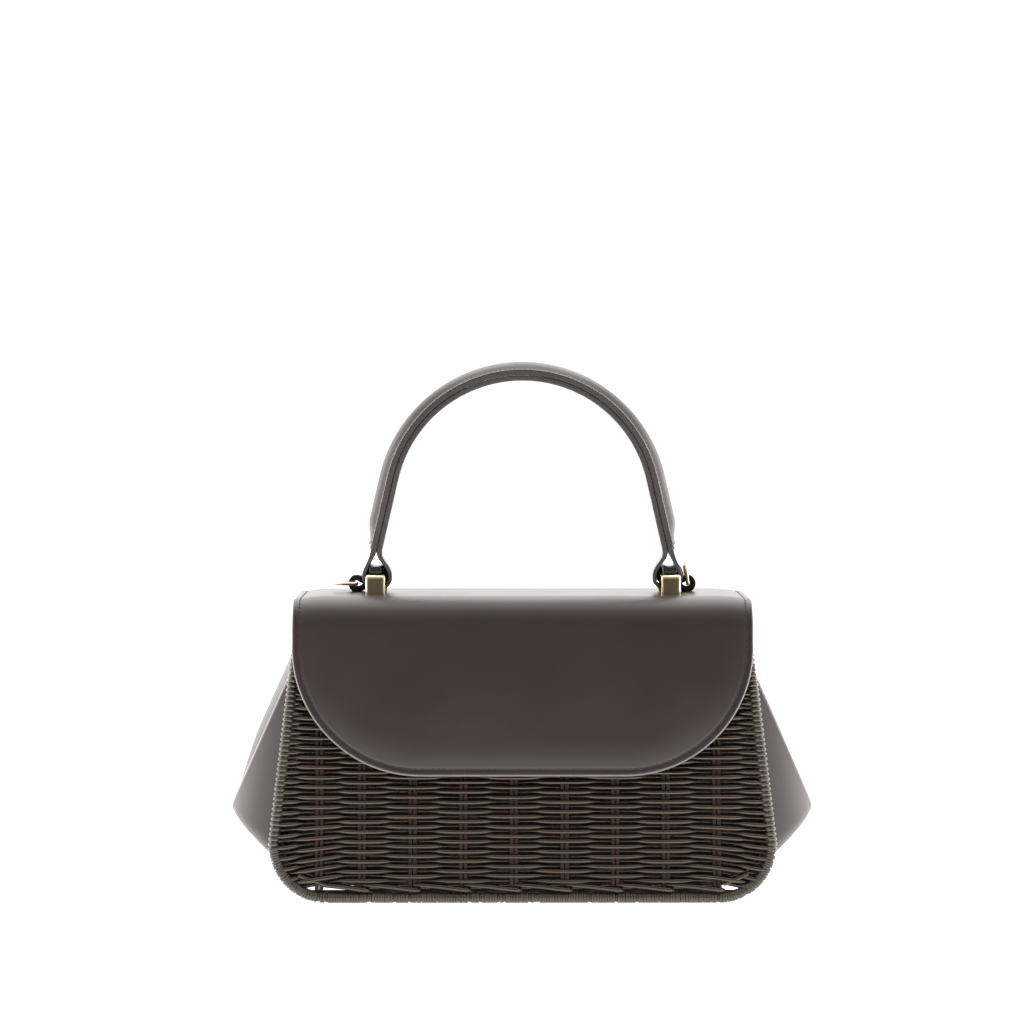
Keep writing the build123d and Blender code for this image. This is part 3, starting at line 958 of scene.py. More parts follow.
@dataclass
class WovenPanel:
    """One wicker panel: bound frame, stakes, woven rows and the twined row at the foot."""

    face: Face
    height: float = 136.73 * MM
    foot_half: float = 122.38 * MM
    top_half: float = 107.0 * MM
    foot_corner: float = 25.2 * MM
    top_corner: float = 11.2 * MM
    rod: float = 1.75 * MM
    pitch: float = 2.36 * MM
    cane: float = 1.12 * MM
    stake: float = 1.0 * MM
    first_stake: float = -97.6 * MM
    first_bay: float = 20.5 * MM
    bay: float = 24.3 * MM
    pairs: int = 9
    first_row: float = 8.0 * MM
    wander_mm: float = 0.22
    squareness: float = 1.7
    sag: float = 0.28 * MM
    droop: float = 5.0 * MM
    droop_from: float = 84 * MM
    droop_run: float = 40 * MM
    droop_under: float = 46 * MM
    droop_rise: float = 30 * MM
    edge_run: float = 6 * MM
    edge_share: float = 0.25
    side_gap: float = 0.3 * MM
    floor_gap: float = 3.6 * MM
    filler_bend: float = 21.4 * MM
    seed: int = 11

    def __post_init__(self) -> None:
        """Set up the panel's plane and its own random draws."""
        self.plane = PanelPlane(self.face)
        self.chance = random.Random(self.seed)

    def side(self, v: float) -> float:
        """Half-width of the frame's axis at a distance up the panel.

        Args:
            v: Distance up the panel.

        Returns:
            The half-width.
        """
        if v < self.foot_corner:
            straight = lerp(self.foot_half, self.top_half, self.foot_corner / self.height)
            return straight - self.foot_corner + quarter(self.foot_corner, self.foot_corner - v)
        return lerp(self.foot_half, self.top_half, v / self.height)

    def floor_v(self, u: float) -> float:
        """Height of the bottom rod's axis at a place across.

        Args:
            u: Place across.

        Returns:
            Distance up the panel.
        """
        past = abs(u) - (self.foot_half - self.foot_corner)
        if past <= 0:
            return 0.0
        return self.foot_corner - quarter(self.foot_corner, past)

    def bay_phase(self, u: float) -> float:
        """How many bays across a place lies, counted from the first stake.

        Args:
            u: Place across.

        Returns:
            The number of bays, with its fraction.
        """
        second = self.first_stake + self.first_bay
        if u < second:
            return (u - self.first_stake) / self.first_bay
        return 1.0 + (u - second) / self.bay

    def row(self, number: int, v: float, samples: int = 112) -> list[Vector]:
        """One woven cane, over one pair of stakes and under the next.

        Args:
            number: Row number, whose parity says which stakes it passes over.
            v: The row's distance up the panel.
            samples: Spans across the row.

        Returns:
            The points of the cane's axis.
        """
        half = self.side(v) - self.side_gap
        drift = [
            self.chance.uniform(-self.wander_mm, self.wander_mm) * MM for _ in range(self.pairs + 3)
        ]
        parity = 1 if number % 2 else -1
        over = (self.stake + self.cane) * parity
        points = []
        for i in range(samples + 1):
            u = lerp(-half, half, i / samples)
            phase = self.bay_phase(u)
            wave = math.cos(math.pi * phase)
            swing = math.tanh(self.squareness * wave) / math.tanh(self.squareness)
            k = clamp(phase + 1.0, 0.0, self.pairs + 1.0)
            whole = min(int(k), self.pairs + 1)
            wander = lerp(drift[whole], drift[whole + 1], smooth(k - whole))
            sag = -self.sag * max(0.0, swing * parity)
            edge = smooth((half - abs(u)) / self.edge_run)
            droop = self.droop * smooth((abs(u) - self.droop_from) / self.droop_run)
            droop *= clamp((self.droop_under - v) / self.droop_rise)
            droop = min(droop, max(0.0, v - self.floor_v(u) - self.floor_gap))
            out = over * swing * lerp(self.edge_share, 1.0, edge)
            points.append(self.plane.at(u, v + wander + sag - droop, out))
        return points

    def bay_place(self, phase: float) -> float:
        """The place across the panel at a number of bays from the first stake.

        Args:
            phase: The number of bays, with its fraction.

        Returns:
            The place across.
        """
        if phase < 1.0:
            return self.first_stake + phase * self.first_bay
        return self.first_stake + self.first_bay + (phase - 1.0) * self.bay

    def stroke(self, bay: int, forward: bool) -> list[Vector]:
        """One slanting stroke of the twined row, over the stake at the bay's right-hand end.

        Args:
            bay: Number of the bay, from 0 at the first stake.
            forward: Whether the stroke shows on the outer face.

        Returns:
            The points of the cane's axis.
        """
        # Share of the bay, distance outwards and distance up the panel, in millimetres.
        shape = [
            (0.02, 0.3, 6.1), (0.25, 1.6, 5.7), (0.6, 2.5, 5.0),
            (0.95, 2.9, 4.0), (1.07, 2.4, 3.6), (1.15, 0.6, 3.2),
        ]
        sign = 1.0 if forward else -1.0
        points = []
        for (p, n, v), (q, m, w) in zip(shape, shape[1:]):
            for k in range(4):
                t = k / 4
                across = self.bay_place(bay + lerp(p, q, t))
                points.append(self.plane.at(across, lerp(v, w, t) * MM, sign * lerp(n, m, t) * MM))
        return points

    def foot_fillers(self) -> list[list[Vector]]:
        """Straight canes behind the twined row, and bent ones inside the corners.

        Returns:
            The points of each cane's axis.
        """
        centre = self.foot_half - self.foot_corner
        # Height, distance outwards and ends of the two lowest, which stop short of the corners.
        straight = [
            (2.6, -1.1, (-centre - 4 * MM, centre + 4 * MM)),
            (4.7, -1.6, (self.bay_place(0.8), self.bay_place(self.pairs - 0.9))),
        ]
        for v in (6.8, 8.8, 10.7, 12.6):
            reach = centre + quarter(self.filler_bend, self.foot_corner - v * MM)
            straight.append((v, -3.3, (-reach, reach)))
        lines = []
        for v, n, ends in straight:
            lines.append([self.plane.at(lerp(*ends, i / 40), v * MM, n * MM) for i in range(41)])
        for radius, first, last in ((21.9, 0.0, 62.0), (19.9, 4.0, 56.0), (18.0, 8.0, 50.0)):
            bend = arc((centre, self.foot_corner), radius * MM, -first, -last, 14)
            for sign in (-1, 1):
                lines.append([self.plane.at(sign * u, v, -2.2 * MM) for u, v in bend])
        return lines

    def corner_strokes(self) -> list[list[Vector]]:
        """The last canes beside the first and last stakes, running down to the corners.

        Returns:
            The points of each cane's axis.
        """
        left = [(-107.5, 10.6), (-101.0, 8.4), (-94.0, 5.9)]
        right = [(96.0, 6.4), (102.0, 8.6), (108.0, 11.2)]
        lines = []
        for places in (left, right):
            lines.append([self.plane.at(u * MM, v * MM, 1.2 * MM) for u, v in places])
            lines.append([self.plane.at(u * MM, (v + 2.1) * MM, -1.2 * MM) for u, v in places])
        return lines

    def outline(self) -> list[Point2]:
        """The frame's axis as a closed line in the panel's plane.

        Returns:
            The points as (u, v).
        """
        corners = [
            (-self.foot_half, 0.0), (self.foot_half, 0.0),
            (self.top_half, self.height), (-self.top_half, self.height),
        ]
        radii = [self.foot_corner, self.foot_corner, self.top_corner, self.top_corner]
        return rounded_line(corners, radii, True, 16)

    def build(self, materials: Materials, repeats: Repeats) -> list[Piece]:
        """Make the panel's pieces and hide what they stand for.

        Args:
            materials: The built materials.
            repeats: The geometry trees.

        Returns:
            The new pieces.
        """
        side = self.face.name.lower()
        rows = []
        number = 0
        v = self.first_row
        top = self.height - 4.0 * MM
        while v < top:
            rows.append(self.row(number, v))
            number += 1
            v += self.pitch
        for bay in range(self.pairs - 1):
            rows += [self.stroke(bay, True), self.stroke(bay, False)]
        rows += self.foot_fillers()
        rows += self.corner_strokes()
        woven = run_tree(
            poly_curve(f"{side}_woven_cane", rows), repeats.cane,
            Radius=self.cane, Sides=8, Material=materials.cane,
        )
        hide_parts(f"{side}_weave")

        line = evenly(self.outline(), 1.0 * MM, closed=True)
        low, high = 24.0 * MM, self.height - 10.0 * MM
        bound = [p for p in line if p[1] <= low or p[1] >= high]
        runs = self.split_runs(bound, 3.0 * MM)
        fine = run_tree(
            poly_curve(f"{side}_frame_winding", [[self.plane.at(u, v, 0.0) for u, v in run] for run in runs]),
            repeats.winding,
            Pitch=1.25 * MM, Core=self.rod - 0.4 * MM, Cane=0.72 * MM, Slant=0.06, Pinched=0.09,
            Seed=self.seed, Material=materials.bound_cane,
        )
        sides = []
        for sign in (-1, 1):
            sides.append([
                self.plane.at(sign * self.side(v), v, 0.0)
                for v in (lerp(low - 1.0 * MM, high + 1.0 * MM, i / 40) for i in range(41))
            ])
        if self.face is Face.BACK:
            sides.reverse()
        beads = run_tree(
            poly_curve(f"{side}_side_wraps", sides), repeats.winding,
            Pitch=self.pitch, Core=self.rod - 1.3 * MM, Cane=1.2 * MM, Slant=0.10, Pinched=0.0,
            Seed=self.seed + 1, Material=materials.bound_cane,
        )
        binding = join(f"{side}_frame_winding", [fine, beads])
        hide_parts(f"{side}_frame_binding")
        dress(f"{side}_frame_rod", materials.bound_cane)
        dress(f"{side}_stakes", materials.upright_cane)
        for piece in (woven, binding):
            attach(piece, "bag")
        return [woven, binding]

    @staticmethod
    def split_runs(points: Sequence[Point2], gap: float) -> list[list[Point2]]:
        """Cut a line where two neighbours lie more than a gap apart.

        Args:
            points: The points of a closed line, some of them left out.
            gap: The widest distance between neighbours of one run.

        Returns:
            The runs; one that crosses the line's start is in one piece.
        """
        runs: list[list[Point2]] = [[points[0]]]
        for a, b in zip(points, points[1:]):
            if math.dist(a, b) > gap:
                runs.append([])
            runs[-1].append(b)
        if len(runs) > 1 and math.dist(points[0], points[-1]) <= gap:
            runs[0] = runs.pop() + runs[0]
        return runs


# ------------------------------------------------------------------ leather gussets
class Side(Enum):
    """Left or right of the bag, seen from the front."""

    LEFT = -1
    RIGHT = 1


@dataclass
class Gusset:
    """One side's leather: a flat band above and a soft four-sided point below it."""

    side: Side
    bulge: float
    tip: float = 144.4 * MM
    tip_z: float = 38.4 * MM
    low: float = 20.0 * MM
    high: float = 122.0 * MM
    top: float = 138.2 * MM
    inset: float = 2.2 * MM
    leather: float = 1.6 * MM
    crease: float = 0.6 * MM
    soft: float = 12.0 * MM
    belly: float = 0.95
    edge_in: float = 3.45 * MM
    low_lift: float = 2.2 * MM
    swell_run: float = 45 * MM
    swell_top: float = 128 * MM
    swell_fade: float = 14 * MM
    # Width of the painted highlight along the crease.
    painted_glint: float = 0.55 * MM
    ridge: float = 0.35 * MM
    hollow: float = 0.9 * MM

    def edge_y(self, z: float) -> float:
        """Where the leather ends behind the side rods."""
        return rod_y(z) - self.edge_in

    def reach(self, y: float, z: float) -> tuple[float, float]:
        """How far the leather stands out, and the painted highlight along its crease.

        Args:
            y: Place across the depth.
            z: Height.

        Returns:
            Outward distance from the seam's plane, and a share from 0 to 1.
        """
        seam = rod_x(z) - self.inset
        base = self.tip - (rod_x(self.tip_z) - self.inset)
        sag = self.edge_y(z) - abs(y)
        share = sag / self.edge_y(self.tip_z)
        front = base * share * (1 + self.belly * (1 - share))
        upper_x = lerp(self.tip, rod_x(self.high) - self.inset, (z - self.tip_z) / (self.high - self.tip_z))
        lower_x = lerp(self.tip, rod_x(self.low) - self.inset, (self.tip_z - z) / (self.tip_z - self.low))
        width = max(1.0 * MM, self.edge_y(z) * clamp((z - self.tip_z) / (self.high - self.tip_z)))
        hump = max(0.0, 1 - (y / width) ** 2) if z > self.tip_z else 0.0
        swell = self.bulge * hump * smooth((z - self.tip_z) / self.swell_run)
        swell *= smooth((self.swell_top - z) / self.swell_fade)
        upper = upper_x - seam
        lower = lower_x - seam + self.low_lift
        height = soft_min(soft_min(front, upper, self.crease), lower, self.soft)
        near = abs(front - upper) * (1 if z > self.tip_z else 3)
        # Painted highlight near the crease: this share lightens the colour for the light the crease catches,
        # and raises a small ridge.
        rub = math.exp(-((near / self.painted_glint) ** 2)) * smooth(height / (2.0 * MM))
        band = self.hollow * math.sin(math.pi * clamp(sag / self.edge_y(z)))
        return max(0.0, height) + swell + self.ridge * rub + (band if height <= 0 else 0.0), rub

    def build(self, materials: Materials) -> Piece:
        """Make the gusset and hide its plain solid.

        Args:
            materials: The built materials.

        Returns:
            The new piece.
        """
        columns, rows = 96, 132
        vertices, faces, rub = [], [], []
        for j in range(rows + 1):
            z = lerp(self.low, self.top, j / rows)
            for i in range(columns + 1):
                y = lerp(-1.0, 1.0, i / columns) * self.edge_y(z)
                out, painted_glint = self.reach(y, z)
                vertices.append(Vector((self.side.value * (rod_x(z) - self.inset + out), y, z)))
                rub.append(painted_glint)
        wide = columns + 1
        for j in range(rows):
            for i in range(columns):
                a = j * wide + i
                quad = [a, a + 1, a + wide + 1, a + wide]
                faces.append(quad if self.side is Side.RIGHT else quad[::-1])
        name = f"{self.side.name.lower()}_gusset_leather"
        piece = mesh_piece(name, vertices, faces, [materials.leather])
        point_values(piece, "rub", rub)
        wall = piece.modifiers.new("wall", "SOLIDIFY")
        wall.thickness = self.leather
        wall.offset = -1.0
        piece = baked(piece)
        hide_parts(f"gusset_{self.side.name.lower()}")
        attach(piece, "bag")
        return piece


# ------------------------------------------------------------------ flap and yoke, one leather
@dataclass
class Flap:
    """The flap and the yoke behind it: one leather, sewn and painted round its edge."""

    half: float = 110.9 * MM
    top: float = 146.0 * MM
    drop: float = 85.6 * MM
    yoke_drop: float = 42.0 * MM
    corner: float = 62.0 * MM
    yoke_corner: float = 30.0 * MM
    front_bend: float = 16.0 * MM
    back_bend: float = 4.5 * MM
    front_out: float = 9.4 * MM
    yoke_out: float = 5.3 * MM
    seam: float = 3.3 * MM
    plump: float = 1.35 * MM
    bow: float = 0.6 * MM
    yoke_plump: float = 0.7 * MM
    under: float = 3.15 * MM
    lining_t: float = 0.6 * MM
    yoke_under: float = 1.9 * MM
    rise_run: float = 15 * MM
    rise_power: float = 2.4
    rolled: float = 0.6 * MM
    rolled_run: float = 0.8 * MM
    groove: float = 0.26 * MM
    groove_half: float = 0.5 * MM
    bow_run: float = 30 * MM
    share_before: float = 10 * MM
    share_run: float = 16 * MM
    rim_bulge: float = 0.7 * MM
    rim_spans: int = 6
    lining_inset: float = 2.6 * MM
    lining_start: float = 8.0 * MM
    lining_over: float = 0.12 * MM
    lining_rows: int = 90
    hinge_start: Point2 = (1.5 * MM, -3.0 * MM)
    hinge_end: float = 5.5 * MM
    columns: int = 44
    rows: int = 170

    def __post_init__(self) -> None:
        """Work out the side view of the leather's outer face."""
        flare = 1 / math.cos(LEAN)
        front_foot = self.top - self.drop * math.cos(LEAN)
        back_foot = self.top - self.yoke_drop * math.cos(LEAN)
        side_view = [
            (rod_y(back_foot) + self.yoke_out * flare, back_foot),
            (rod_y(self.top) + self.yoke_out * flare, self.top),
            (-(rod_y(self.top) + self.front_out * flare), self.top),
            (-(rod_y(front_foot) + self.front_out * flare), front_foot),
        ]
        line = rounded_line(side_view, [0.0, self.back_bend, self.front_bend, 0.0], False, 14)
        self.step = 0.25 * MM
        self.line = evenly(line, self.step)
        self.length = sum(math.dist(a, b) for a, b in zip(self.line, self.line[1:]))
        self.bow_start = self.length - self.drop

    def at(self, x: float, s: float, offset: float) -> Vector:
        """A place on the leather.

        Args:
            x: Place across the width.
            s: Distance from the yoke's foot, over the top, towards the flap's foot.
            offset: Height above the outer face.

        Returns:
            The place.
        """
        where = clamp(s / self.length) * (len(self.line) - 1)
        i = min(int(where), len(self.line) - 2)
        a, b = self.line[i], self.line[i + 1]
        c = self.line[max(0, i - 6)]
        d = self.line[min(len(self.line) - 1, i + 7)]
        along = Vector((d[0] - c[0], d[1] - c[1])).normalized()
        y, z = lerp(a[0], b[0], where - i), lerp(a[1], b[1], where - i)
        return Vector((x, y + along.y * offset, z - along.x * offset))

    def sideways(self, s: float, out: Vector, reach: float) -> Vector:
        """A step out of the leather's edge, in the leather's own surface."""
        along = (self.at(0.0, s + self.step, 0.0) - self.at(0.0, s - self.step, 0.0)).normalized()
        return (Vector((1.0, 0.0, 0.0)) * out.x + along * out.y) * reach

    def ends(self, x: float) -> Point2:
        """Where the leather starts and stops at a place across the width.

        Args:
            x: Place across the width.

        Returns:
            The two distances along the leather.
        """
        start, stop = 0.0, self.length
        past = abs(x) - (self.half - self.yoke_corner)
        if past > 0:
            start = self.yoke_corner - quarter(self.yoke_corner, past)
        past = abs(x) - (self.half - self.corner)
        if past > 0:
            stop = self.length - self.corner + quarter(self.corner, past)
        return start, stop

    def inside(self, x: float, s: float) -> float:
        """How far a place lies inside the leather's edge.

        Args:
            x: Place across the width.
            s: Distance along the leather.

        Returns:
            The distance, 0 on the edge.
        """
        edge = min(self.half - abs(x), s, self.length - s)
        corners = ((self.corner, s - (self.length - self.corner)), (self.yoke_corner, self.yoke_corner - s))
        for radius, down in corners:
            across = abs(x) - (self.half - radius)
            if across > 0 and down > 0:
                edge = min(edge, radius - math.hypot(across, down))
        return max(0.0, edge)

    def share(self, s: float) -> float:
        """0 on the yoke, 1 on the flap."""
        return smooth((s - self.yoke_drop + self.share_before) / self.share_run)

    def under_side(self, s: float) -> float:
        """Height of the leather's under side, below its outer face."""
        return -lerp(self.yoke_under, self.under - self.lining_t, self.share(s))

    def relief(self, x: float, s: float) -> float:
        """Height of the leather's skin: low along the sewn edge, full inside it.

        Args:
            x: Place across the width.
            s: Distance along the leather.

        Returns:
            Height above the outer face.
        """
        deep = self.inside(x, s)
        plump = lerp(self.yoke_plump, self.plump, self.share(s))
        rise = clamp((deep - self.seam) / self.rise_run)
        base = -plump * (1 - rise) ** self.rise_power
        rolled = -self.rolled * max(0.0, 1 - deep / self.rolled_run) ** 2
        groove = -self.groove * math.exp(-(((deep - self.seam) / self.groove_half) ** 2))
        bowed = self.bow * math.sin(math.pi * clamp((s - self.bow_start) / (self.length - self.bow_start)))
        return base + rolled + groove + bowed * smooth(deep / self.bow_run)

    def columns_x(self) -> list[float]:
        """Places across the width, closer together near the sides.

        Returns:
            The places, from left to right.
        """
        flat = self.half - self.corner
        turns = (math.radians(90 * i / self.columns) for i in range(self.columns + 1))
        right = [flat + self.corner * math.sin(turn) for turn in turns]
        middle = [lerp(-flat, flat, i / 26) for i in range(1, 26)]
        return [-x for x in reversed(right)] + middle + right

    def build(self, materials: Materials, repeats: Repeats) -> list[Piece]:
        """Make the leather and its stitches.

        Args:
            materials: The built materials.
            repeats: The geometry trees.

        Returns:
            The new pieces.
        """
        xs = self.columns_x()
        shares = [0.5 - 0.5 * math.cos(math.pi * j / self.rows) for j in range(self.rows + 1)]
        shares = [lerp(j / self.rows, t, 0.6) for j, t in enumerate(shares)]
        skin, under, rub = [], [], []
        for x in xs:
            start, stop = self.ends(x)
            for t in shares:
                s = lerp(start, stop, t)
                skin.append(self.at(x, s, self.relief(x, s)))
                under.append(self.at(x, s, self.under_side(s)))
                # Painted highlight along the very edge of the skin, for the light the rim catches.
                rub.append(0.8 * math.exp(-((self.inside(x, s) / (0.5 * MM)) ** 2)))
        tall = len(shares)
        count = len(skin)
        faces = sheet_faces(len(xs), tall)
        kinds = [0] * len(faces)
        rim = border(len(xs), tall)
        flat = [(x, lerp(*self.ends(x), t)) for x in xs for t in shares]
        bands = [rim]
        extra: list[Vector] = []
        for k in range(1, self.rim_spans):
            turn = math.pi * k / self.rim_spans
            base = 2 * count + len(extra)
            for i, here in enumerate(rim):
                before, after = flat[rim[i - 1]], flat[rim[(i + 1) % len(rim)]]
                out = Vector((before[1] - after[1], after[0] - before[0])).normalized()
                x, s = flat[here]
                deep = lerp(self.relief(x, s), self.under_side(s), (1 - math.cos(turn)) / 2)
                reach = self.rim_bulge * math.sin(turn)
                extra.append(self.at(x, clamp(s, 0.0, self.length), deep) + self.sideways(s, out, reach))
            bands.append(list(range(base, base + len(rim))))
        bands.append([count + a for a in rim])
        for upper, lower in zip(bands, bands[1:]):
            faces += band_faces(upper, lower)
            kinds += [1] * len(rim)
        finish = [materials.leather, materials.edge]
        leather = mesh_piece("flap_and_yoke_leather", skin + under + extra, faces, finish, kinds)
        point_values(leather, "rub", rub + [0.0] * (count + len(extra)))
        face_outwards(leather)
        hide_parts("flap_leather", "flap_board", "back_yoke")

        sewn = run_tree(
            poly_curve("flap_stitches", [self.seam_line()], closed=True), repeats.stitches,
            Pitch=2.7 * MM, Thread=0.30 * MM, Material=materials.thread,
        )
        _, y, z = joint_place("flap_hinge")
        start = (0.0, y + self.hinge_start[0], z + self.hinge_start[1])
        for piece in (leather, sewn):
            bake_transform(piece)
        return [leather, sewn, self.lining(materials)]

    def lining(self, materials: Materials) -> Piece:
        """The thin cloth under the leather, a little short of its edge.

        Args:
            materials: The built materials.

        Returns:
            The new piece.
        """
        start = self.yoke_drop + self.lining_start
        xs = [x * (self.half - self.lining_inset) / self.half for x in self.columns_x()]
        tall = self.lining_rows + 1
        upper, lower = [], []
        for x in xs:
            past = max(0.0, abs(x) - (self.half - self.corner))
            stop = self.length - self.corner + quarter(self.corner - self.lining_inset, past)
            for j in range(tall):
                s = lerp(start, stop, j / self.lining_rows)
                upper.append(self.at(x, s, self.lining_t - self.under))
                lower.append(self.at(x, s, -self.under - self.lining_over))
        rim = border(len(xs), tall)
        faces = sheet_faces(len(xs), tall) + band_faces(rim, [len(upper) + a for a in rim])
        cloth = mesh_piece("flap_lining_cloth", upper + lower, faces, [materials.cloth])
        face_outwards(cloth)
        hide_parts("flap_lining")
        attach(cloth, "flap")
        return cloth

    def seam_line(self) -> list[Vector]:
        """The line of stitches, a seam's width inside the edge all round.

        Returns:
            The points of the closed line.
        """
        half = self.half - self.seam
        big, small = self.corner - self.seam, self.yoke_corner - self.seam
        corners = [
            (-half, self.seam), (half, self.seam),
            (half, self.length - self.seam), (-half, self.length - self.seam),
        ]
        flat = evenly(rounded_line(corners, [small, small, big, big], True, 24), 1.0 * MM, closed=True)
        return [self.at(x, s, self.relief(x, s) + 0.22 * MM) for x, s in flat]


# ------------------------------------------------------------------ handle
@dataclass
class Handle:
    """The two-ply strap with its end loops, and the padded cover sewn over its arch."""

    arch: float = 62.0 * MM
    arch_z: float = 188.0 * MM
    flare: float = 13.0
    ply: float = 2.72 * MM
    width: float = 18.0 * MM
    loop_x: float = 70.9 * MM
    loop_below: float = 0.9 * MM
    loop_r: float = 5.5 * MM
    split_z: float = 164.7 * MM
    cover_half: float = 8.9 * MM
    crown_h: float = 4.0 * MM
    leg_h: float = 4.3 * MM
    cover_end: float = 167.6 * MM
    flange: float = 0.55 * MM
    cover_step: float = 1.2 * MM
    thin: float = 0.38 * MM
    thin_above: float = 2.0 * MM
    thin_run: float = 6 * MM
    crown_from: float = 196 * MM
    crown_run: float = 50 * MM
    end_run: float = 15 * MM
    tongue_run: float = 3 * MM

    def __post_init__(self) -> None:
        """Find the strap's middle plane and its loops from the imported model."""
        low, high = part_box("handle_strap")
        self.depth = (low[1] + high[1]) / 2
        self.loop = (self.loop_x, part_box("staple_left")[1][2] - self.loop_below)

    def arch_half(self, out: float, low: float, steps: int = 40) -> list[Point2]:
        """The right half of the arch, from its top down to a height.

        Args:
            out: Distance outside the arch's own line.
            low: Height of its end.
            steps: Spans in the round part.

        Returns:
            The points as (x, z).
        """
        points = arc((0.0, self.arch_z), self.arch + out, 90.0, self.flare, steps)
        x, z = points[-1]
        points.append((x + (z - low) * math.tan(math.radians(self.flare)), low))
        return points

    def strap_line(self) -> list[Point2]:
        """The axis of the closed band: outer ply, end loop, inner ply, and the other side.

        Returns:
            The points as (x, z).
        """
        outer = self.arch_half(1.5 * self.ply, self.split_z + 0.4 * MM)
        inner = self.arch_half(0.5 * self.ply, self.split_z)
        turn = arc(self.loop, self.loop_r + self.ply / 2 - 0.25 * MM, 34.0, -214.0, 34)
        right = evenly(outer + turn + inner[::-1], 0.8 * MM)
        loop = right + [(-x, z) for x, z in reversed(right[1:-1])]
        middle = (self.split_z + self.loop[1]) / 2
        return relax(loop, 14, lambda p: abs(p[1] - middle) > 7.5 * MM)

    def cover_section(self, rise: float, tongue: float) -> list[Point2]:
        """The padded cover's section.

        Args:
            rise: Height of the dome above the strap.
            tongue: Share of the full width.

        Returns:
            The section's points as (outward, across).
        """
        points = []
        half = self.cover_half
        steps = 30
        for i in range(steps + 1):
            y = lerp(-half, half, i / steps)
            swell = max(0.0, 1 - (y / (half - 0.9 * MM)) ** 2) ** 0.85
            edge = 0.35 * MM * max(0.0, 1 - (half - abs(y)) / (0.5 * MM)) ** 2
            height = self.flange + (rise - self.flange) * swell - edge
            points.append((height, y * tongue))
        return [(0.06 * MM, -half * tongue)] + points + [(0.06 * MM, half * tongue)]

    def build(self, materials: Materials, repeats: Repeats) -> list[Piece]:
        """Make the strap, the cover and its stitches.

        Args:
            materials: The built materials.
            repeats: The geometry trees.

        Returns:
            The new pieces.
        """
        line = self.strap_line()
        stations = planar_stations(line, self.depth, True)

        def cut(i: int) -> list[Point2]:
            """The strap's section, thinner round the loops.

            Args:
                i: Number of the station.

            Returns:
                The section's points.
            """
            less = self.thin * smooth((self.split_z + self.thin_above - line[i][1]) / self.thin_run)
            half_ply = self.ply / 2 - 0.03 * MM - less
            return bar_section(half_ply, self.width / 2, 0.55 * MM, 0.34 * MM, 5)

        strap = swept("handle_strap_leather", stations, cut, [materials.strap], closed=True)
        self.paint_edges(strap, materials)
        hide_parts("handle_strap")

        half = self.arch_half(2 * self.ply, self.cover_end)
        whole = [(-x, z) for x, z in reversed(half)] + half[1:]
        line = evenly(whole, self.cover_step)

        def section(i: int) -> list[Point2]:
            """The cover's section, lower and narrower at its ends.

            Args:
                i: Number of the station.

            Returns:
                The section's points.
            """
            away = min(i, len(line) - 1 - i) * self.cover_step
            tongue = math.sqrt(max(0.3, 1 - 0.7 * clamp(1 - away / self.tongue_run) ** 2))
            height = smooth((line[i][1] - self.crown_from) / self.crown_run)
            full = lerp(self.leg_h, self.crown_h, height)
            return self.cover_section(lerp(1.0 * MM, full, smooth(away / self.end_run)), tongue)

        stations = planar_stations(line, self.depth, False)
        cover = swept("handle_padded_cover", stations, section, [materials.leather])
        self.rub_cover(cover)
        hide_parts("handle_cover")

        rows = []
        for sign in (-1, 1):
            y = self.depth + sign * (self.cover_half - 0.75 * MM)
            high = self.flange - 0.02 * MM
            rows.append([
                place + out * high + Vector((0, y - place.y, 0)) for place, out, _ in stations[3:-3]
            ])
        sewn = run_tree(
            poly_curve("handle_stitches", rows), repeats.stitches,
            Pitch=2.4 * MM, Thread=0.20 * MM, Material=materials.thread,
        )
        for piece in (strap, cover, sewn):
            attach(piece, "flap")
        dress("handle_core", materials.foam)
        return [strap, cover, sewn]

    def paint_edges(self, strap: Piece, materials: Materials) -> None:
        """Give the strap's narrow edges their paint, darker on the inner half.

        Args:
            strap: The strap.
            materials: The built materials.
        """
        mesh = strap.data
        mesh.materials.append(materials.strap_edge)
        mesh.materials.append(materials.dark)
        rim = self.width / 2 - 0.6 * MM
        round_section, inner = 24, range(12, 23)
        for polygon in mesh.polygons:
            if abs(polygon.center.y - self.depth) > rim:
                polygon.material_index = 2 if polygon.index % round_section in inner else 1
        point_values(strap, "rub", [0.0] * len(mesh.vertices))

    def rub_cover(self, cover: Piece) -> None:
        """Paint a highlight on the cover's cut edge: a lighter colour for the light the edge catches.

        Args:
            cover: The padded cover.
        """
        rim = self.cover_half - 0.5 * MM
        # Painted highlight along the cut edge.
        painted_glint = [smooth((abs(v.co.y - self.depth) - rim) / (0.4 * MM)) for v in cover.data.vertices]
        point_values(cover, "rub", painted_glint)


